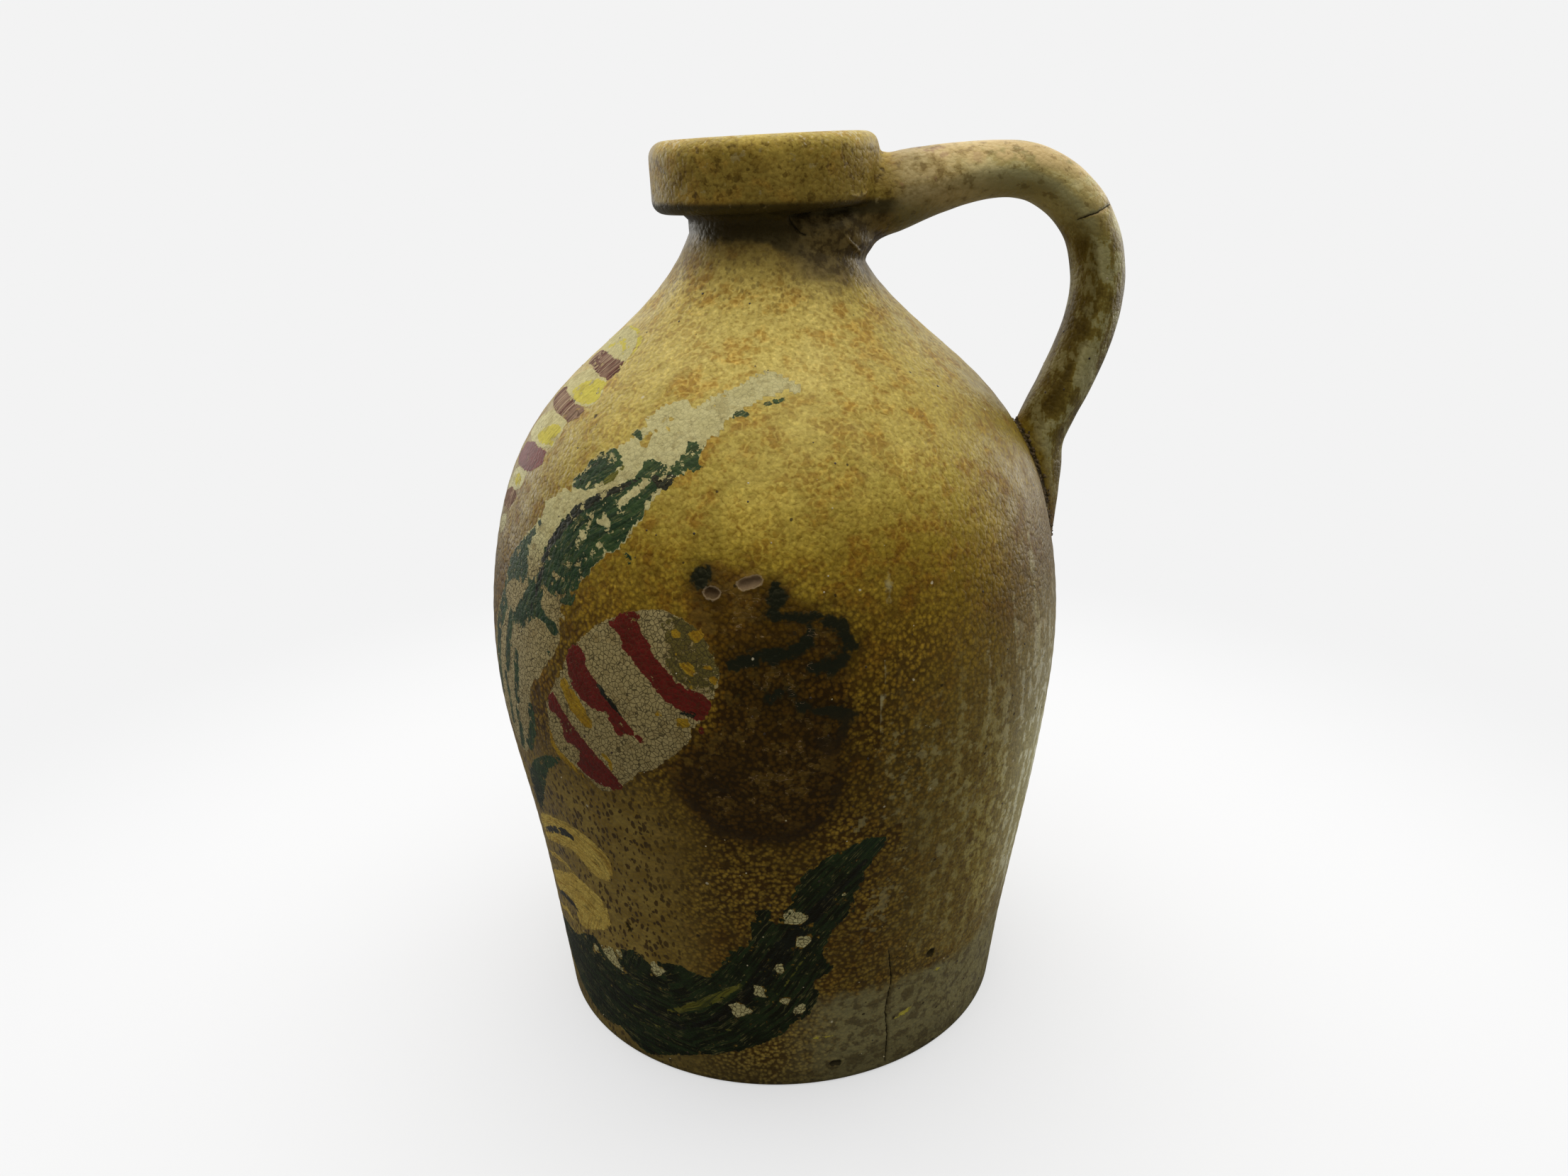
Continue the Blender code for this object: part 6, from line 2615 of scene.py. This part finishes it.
@dataclass(frozen=True)
class Grain:
    """One kind of small grain that stands on the jug, in millimetres."""

    name: str
    colour: Colour
    second: Colour
    roughness: float
    per_square_metre: float
    smallest: float
    largest: float
    flatness: float
    seed: int
    where: str
    sink: float = 0.25

    def material(self, groups: Groups) -> bpy.types.Material:
        """The grain's finish: two colours in fine clouds, with a pebbled skin."""
        coat = Coat(bpy.data.materials.new(self.name), self.roughness, groups)
        wiring = coat.wiring
        coat.colour = wiring.mix(
            wiring.span(wiring.noise(coat.place, 500.0, 3.0), 0.35, 0.65), self.colour, self.second
        )
        skin = coat.group("skin", Pebble_Size=0.5 * MM, Waver=0.8)
        coat.raise_by(wiring.times(skin["Height"], 0.03))
        grime = coat.group("grime", Cloud_Size=0.002, Amount=0.4)["Mask"]
        coat.cover(grime, (0.05, 0.035, 0.015), 0.3)
        return coat.fire()


GRAINS = (
    Grain(
        "iron_melt_specks",
        (0.020, 0.012, 0.005),
        (0.055, 0.030, 0.010),
        0.28,
        1500.0,
        0.15,
        0.50,
        0.35,
        4,
        "wall",
    ),
    Grain("pale_salt_pops", (0.60, 0.53, 0.36), (0.45, 0.37, 0.20), 0.55, 900.0, 0.12, 0.36, 0.5, 9, "wall"),
    Grain(
        "joint_clay_crumbs",
        (0.050, 0.030, 0.010),
        (0.14, 0.09, 0.03),
        0.9,
        600000.0,
        0.18,
        0.80,
        0.8,
        21,
        "crumb_room",
        0.1,
    ),
)


def scatter_tree() -> bpy.types.NodeTree:
    """The tree that scatters small uneven grains over the faces that are given to it."""
    wiring, given, result = new_group(
        "GeometryNodeTree",
        "scattered_grains",
        {
            "Surface": ("Geometry", None),
            "Most Per Square Metre": ("Float", 100.0),
            "Where": ("String", ""),
            "Smallest": ("Float", 0.0002),
            "Largest": ("Float", 0.0005),
            "Flatness": ("Float", 0.5),
            "Sink": ("Float", 0.2),
            "Seed": ("Int", 0),
            "Finish": ("Material", None),
        },
        {"Grains": "Geometry"},
    )
    take = given.outputs
    share = wiring.add(
        "GeometryNodeInputNamedAttribute", {"Name": take["Where"]}, data_type="FLOAT"
    ).outputs[0]
    density = wiring.times(share, take["Most Per Square Metre"])
    spread = wiring.add(
        "GeometryNodeDistributePointsOnFaces", {"Mesh": take["Surface"], "Seed": take["Seed"]}
    )
    wiring.feed(spread.inputs["Density"], density)
    ball = wiring.add("GeometryNodeMeshIcoSphere", {"Radius": 1.0, "Subdivisions": 2})
    chance = wiring.add(
        "FunctionNodeRandomValue",
        {2: take["Smallest"], 3: take["Largest"], "Seed": take["Seed"]},
        data_type="FLOAT",
    ).outputs[1]
    flat = wiring.times(chance, take["Flatness"])
    size = wiring.add("ShaderNodeCombineXYZ", {0: chance, 1: chance, 2: flat}).outputs[0]
    placed = wiring.add("GeometryNodeInstanceOnPoints", {"Points": spread.outputs["Points"]})
    wiring.feed(placed.inputs["Instance"], ball.outputs["Mesh"])
    wiring.feed(placed.inputs["Rotation"], spread.outputs["Rotation"])
    wiring.feed(placed.inputs["Scale"], size)
    sunk = wiring.times(flat, wiring.times(take["Sink"], -1.0))
    drop = wiring.add("ShaderNodeCombineXYZ", {2: sunk}).outputs[0]
    lowered = wiring.add(
        "GeometryNodeTranslateInstances", {"Instances": placed.outputs[0], "Translation": drop}
    )
    real = wiring.add("GeometryNodeRealizeInstances", {0: lowered.outputs[0]})
    position = wiring.add("GeometryNodeInputPosition").outputs[0]
    cloud = wiring.add("ShaderNodeTexNoise", {"Vector": position, "Scale": 1800.0, "Detail": 1.0})
    stray = wiring.vector("SUBTRACT", cloud.outputs["Color"], (0.5, 0.5, 0.5))
    uneven = wiring.add("GeometryNodeSetPosition", {"Geometry": real.outputs[0]})
    wiring.feed(uneven.inputs["Offset"], wiring.scaled(stray, take["Smallest"]))
    dressed = wiring.add(
        "GeometryNodeSetMaterial", {"Geometry": uneven.outputs[0], "Material": take["Finish"]}
    )
    wiring.feed(result.inputs[0], dressed.outputs[0])
    return wiring.tree


def scatter(jug: bpy.types.Object, groups: Groups) -> list[bpy.types.Object]:
    """Scatters each kind of grain over the jug.

    Args:
        jug: The fired jug.
        groups: The shared node groups by name.

    Returns:
        The pieces.
    """
    tree = scatter_tree()
    made = []
    for grain in GRAINS:
        ground = show(grain.name + "_ground", jug.data.copy())
        values = {
            "Most Per Square Metre": grain.per_square_metre,
            "Where": grain.where,
            "Smallest": grain.smallest * MM,
            "Largest": grain.largest * MM,
            "Flatness": grain.flatness,
            "Sink": grain.sink,
            "Seed": grain.seed,
            "Finish": grain.material(groups),
        }
        run_tree(ground, tree, values)
        mesh = plain_mesh(ground)
        move_corners(mesh, np.clip(corners_of(mesh), CAD_BOX[0], CAD_BOX[1]))
        mesh.shade_smooth()
        piece = show(grain.name, mesh)
        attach(piece, BODY)
        made.append(piece)
    return made


@dataclass(frozen=True)
class Studio:
    """The camera of the photo, a pale floor and soft light from above, in metres and degrees."""

    camera_place: tuple[float, float, float] = (0.0, -0.4503, 0.3335)
    lens: float = 26.96
    pitch: float = 20.08
    yaw: float = 0.577
    roll: float = 1.133
    floor_size: float = 8.0
    floor_colour: Colour = (0.34, 0.34, 0.34)
    floor_bounce: float = 0.15
    floor_glow: float = 0.53
    background: float = 0.896
    dome_strength: float = 1.95
    dome_focus: float = 2.0
    dome_rest: float = 0.03
    back_glow: float = 0.75

    def camera(self) -> None:
        """Stands the camera where the photo was taken."""
        data = bpy.data.cameras.new("photo_camera")
        data.lens = self.lens
        data.sensor_width = 36.0
        data.clip_start = 0.01
        pitch, yaw, roll = (math.radians(a) for a in (self.pitch, self.yaw, self.roll))
        right = Vector((math.cos(yaw), -math.sin(yaw), 0.0))
        ahead = Vector((math.sin(yaw) * math.cos(pitch), math.cos(yaw) * math.cos(pitch), -math.sin(pitch)))
        up = right.cross(ahead)
        turned = right * math.cos(roll) - up * math.sin(roll)
        upright = right * math.sin(roll) + up * math.cos(roll)
        camera = bpy.data.objects.new("photo_camera", data)
        rotation = Matrix((turned, upright, -ahead)).transposed().to_4x4()
        camera.matrix_world = Matrix.Translation(self.camera_place) @ rotation
        bpy.context.scene.collection.objects.link(camera)
        bpy.context.scene.camera = camera

    def floor(self) -> None:
        """Lays the pale floor, which throws little light back up."""
        half = self.floor_size / 2
        mesh = bpy.data.meshes.new("floor")
        mesh.from_pydata(
            [(-half, -half, 0), (half, -half, 0), (half, half, 0), (-half, half, 0)], [], [(0, 1, 2, 3)]
        )
        material = bpy.data.materials.new("pale_floor")
        material.use_nodes = True
        wiring = Wiring(material.node_tree)
        wiring.tree.nodes.clear()
        seen = wiring.add("ShaderNodeLightPath").outputs["Is Camera Ray"]
        dim = (self.floor_bounce,) * 3
        cloth = wiring.add("ShaderNodeBsdfDiffuse", {0: wiring.mix(seen, dim, self.floor_colour)})
        glow = wiring.add("ShaderNodeEmission", {"Strength": wiring.times(seen, self.floor_glow)})
        near = wiring.add("ShaderNodeAddShader", {0: cloth.outputs[0], 1: glow.outputs[0]})
        far = wiring.add("ShaderNodeEmission", {"Strength": self.background})
        away = wiring.vector("LENGTH", wiring.add("ShaderNodeTexCoord").outputs["Object"], out="Value")
        fade = wiring.times(wiring.span(away, 0.22, 0.55), seen)
        shader = wiring.add("ShaderNodeMixShader", {0: fade, 1: near.outputs[0], 2: far.outputs[0]})
        wiring.add("ShaderNodeOutputMaterial", {0: shader.outputs[0]})
        mesh.materials.append(material)
        floor = show("floor", mesh)
        floor.location.z = -0.0002

    def dome(self) -> None:
        """Lights the jug from a soft bright sky that falls off towards the horizon."""
        world = bpy.data.worlds.new("studio_dome")
        bpy.context.scene.world = world
        world.use_nodes = True
        wiring = Wiring(world.node_tree)
        wiring.tree.nodes.clear()
        way = wiring.add(
            "ShaderNodeSeparateXYZ", {0: wiring.add("ShaderNodeTexCoord").outputs["Generated"]}
        ).outputs
        high = wiring.math("POWER", wiring.math("MAXIMUM", way[2], 0.0), self.dome_focus)
        behind = wiring.times(wiring.span(way[1], -0.1, 0.9), self.back_glow)
        strength = wiring.times_plus(high, self.dome_strength, wiring.plus(behind, self.dome_rest))
        seen = wiring.add("ShaderNodeLightPath").outputs["Is Camera Ray"]
        level = wiring.add(
            "ShaderNodeMix", {0: seen, 2: strength, 3: self.background}, data_type="FLOAT"
        ).outputs[0]
        shader = wiring.add("ShaderNodeBackground", {"Color": (1.0, 1.0, 1.0, 1.0), "Strength": level})
        wiring.add("ShaderNodeOutputWorld", {0: shader.outputs[0]})

    def lamp(self, name: str, place: tuple[float, float, float], size: float, power: float) -> None:
        """Hangs a soft lamp that points at the jug's middle.

        Args:
            name: The lamp's name.
            place: Where it hangs.
            size: The side of its square.
            power: Its power in watts.
        """
        data = bpy.data.lights.new(name, "AREA")
        data.size = size
        data.energy = power
        lamp = bpy.data.objects.new(name, data)
        lamp.location = place
        way = Vector((0.0, 0.0, 0.17)) - lamp.location
        lamp.rotation_euler = way.to_track_quat("-Z", "Y").to_euler()
        bpy.context.scene.collection.objects.link(lamp)

    def build(self) -> None:
        """Sets up the camera, the floor and the lights."""
        self.camera()
        self.floor()
        self.dome()
        self.lamp("right_softbox", (1.15, 0.62, 0.45), 0.9, 5.0)
        self.lamp("left_softbox", (-1.05, 0.80, 0.42), 0.9, 3.6)
        bpy.context.scene.view_settings.view_transform = "Standard"


def main() -> None:
    """Builds the jug in order, dresses the studio and reports each piece."""
    logging.basicConfig(level=logging.INFO, format="%(message)s")
    form = JugForm()
    groups = {
        "skin": pebbled_skin(),
        "specks": mineral_specks(),
        "grime": settled_grime(),
        "paint": worn_paint(),
    }
    finish = SaltGlaze(form)
    glazes = {
        zone: finish.build(bpy.data.materials.new(f"salt_glaze_{zone.value}"), groups, zone)
        for zone in GlazeZone
    }
    slip = DarkSlip().build(bpy.data.materials.new("dark_slip"), groups)
    foot = BareFoot().build(bpy.data.materials.new("bare_foot"), groups)
    fired = FiredJug(form)
    fired.join(glazes[GlazeZone.PLAIN], slip)
    fired.mark_flaws()
    fired.lay_paint()
    jug = fired.finish(foot, glazes[GlazeZone.PAINTED], glazes[GlazeZone.UPPER])
    pieces = [jug, *scatter(jug, groups)]
    Studio().build()
    for piece in pieces:
        LOG.info("%s: %d triangles", piece.name, sum(len(face.vertices) - 2 for face in piece.data.polygons))
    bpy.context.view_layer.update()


if __name__ == "__main__":
    main()
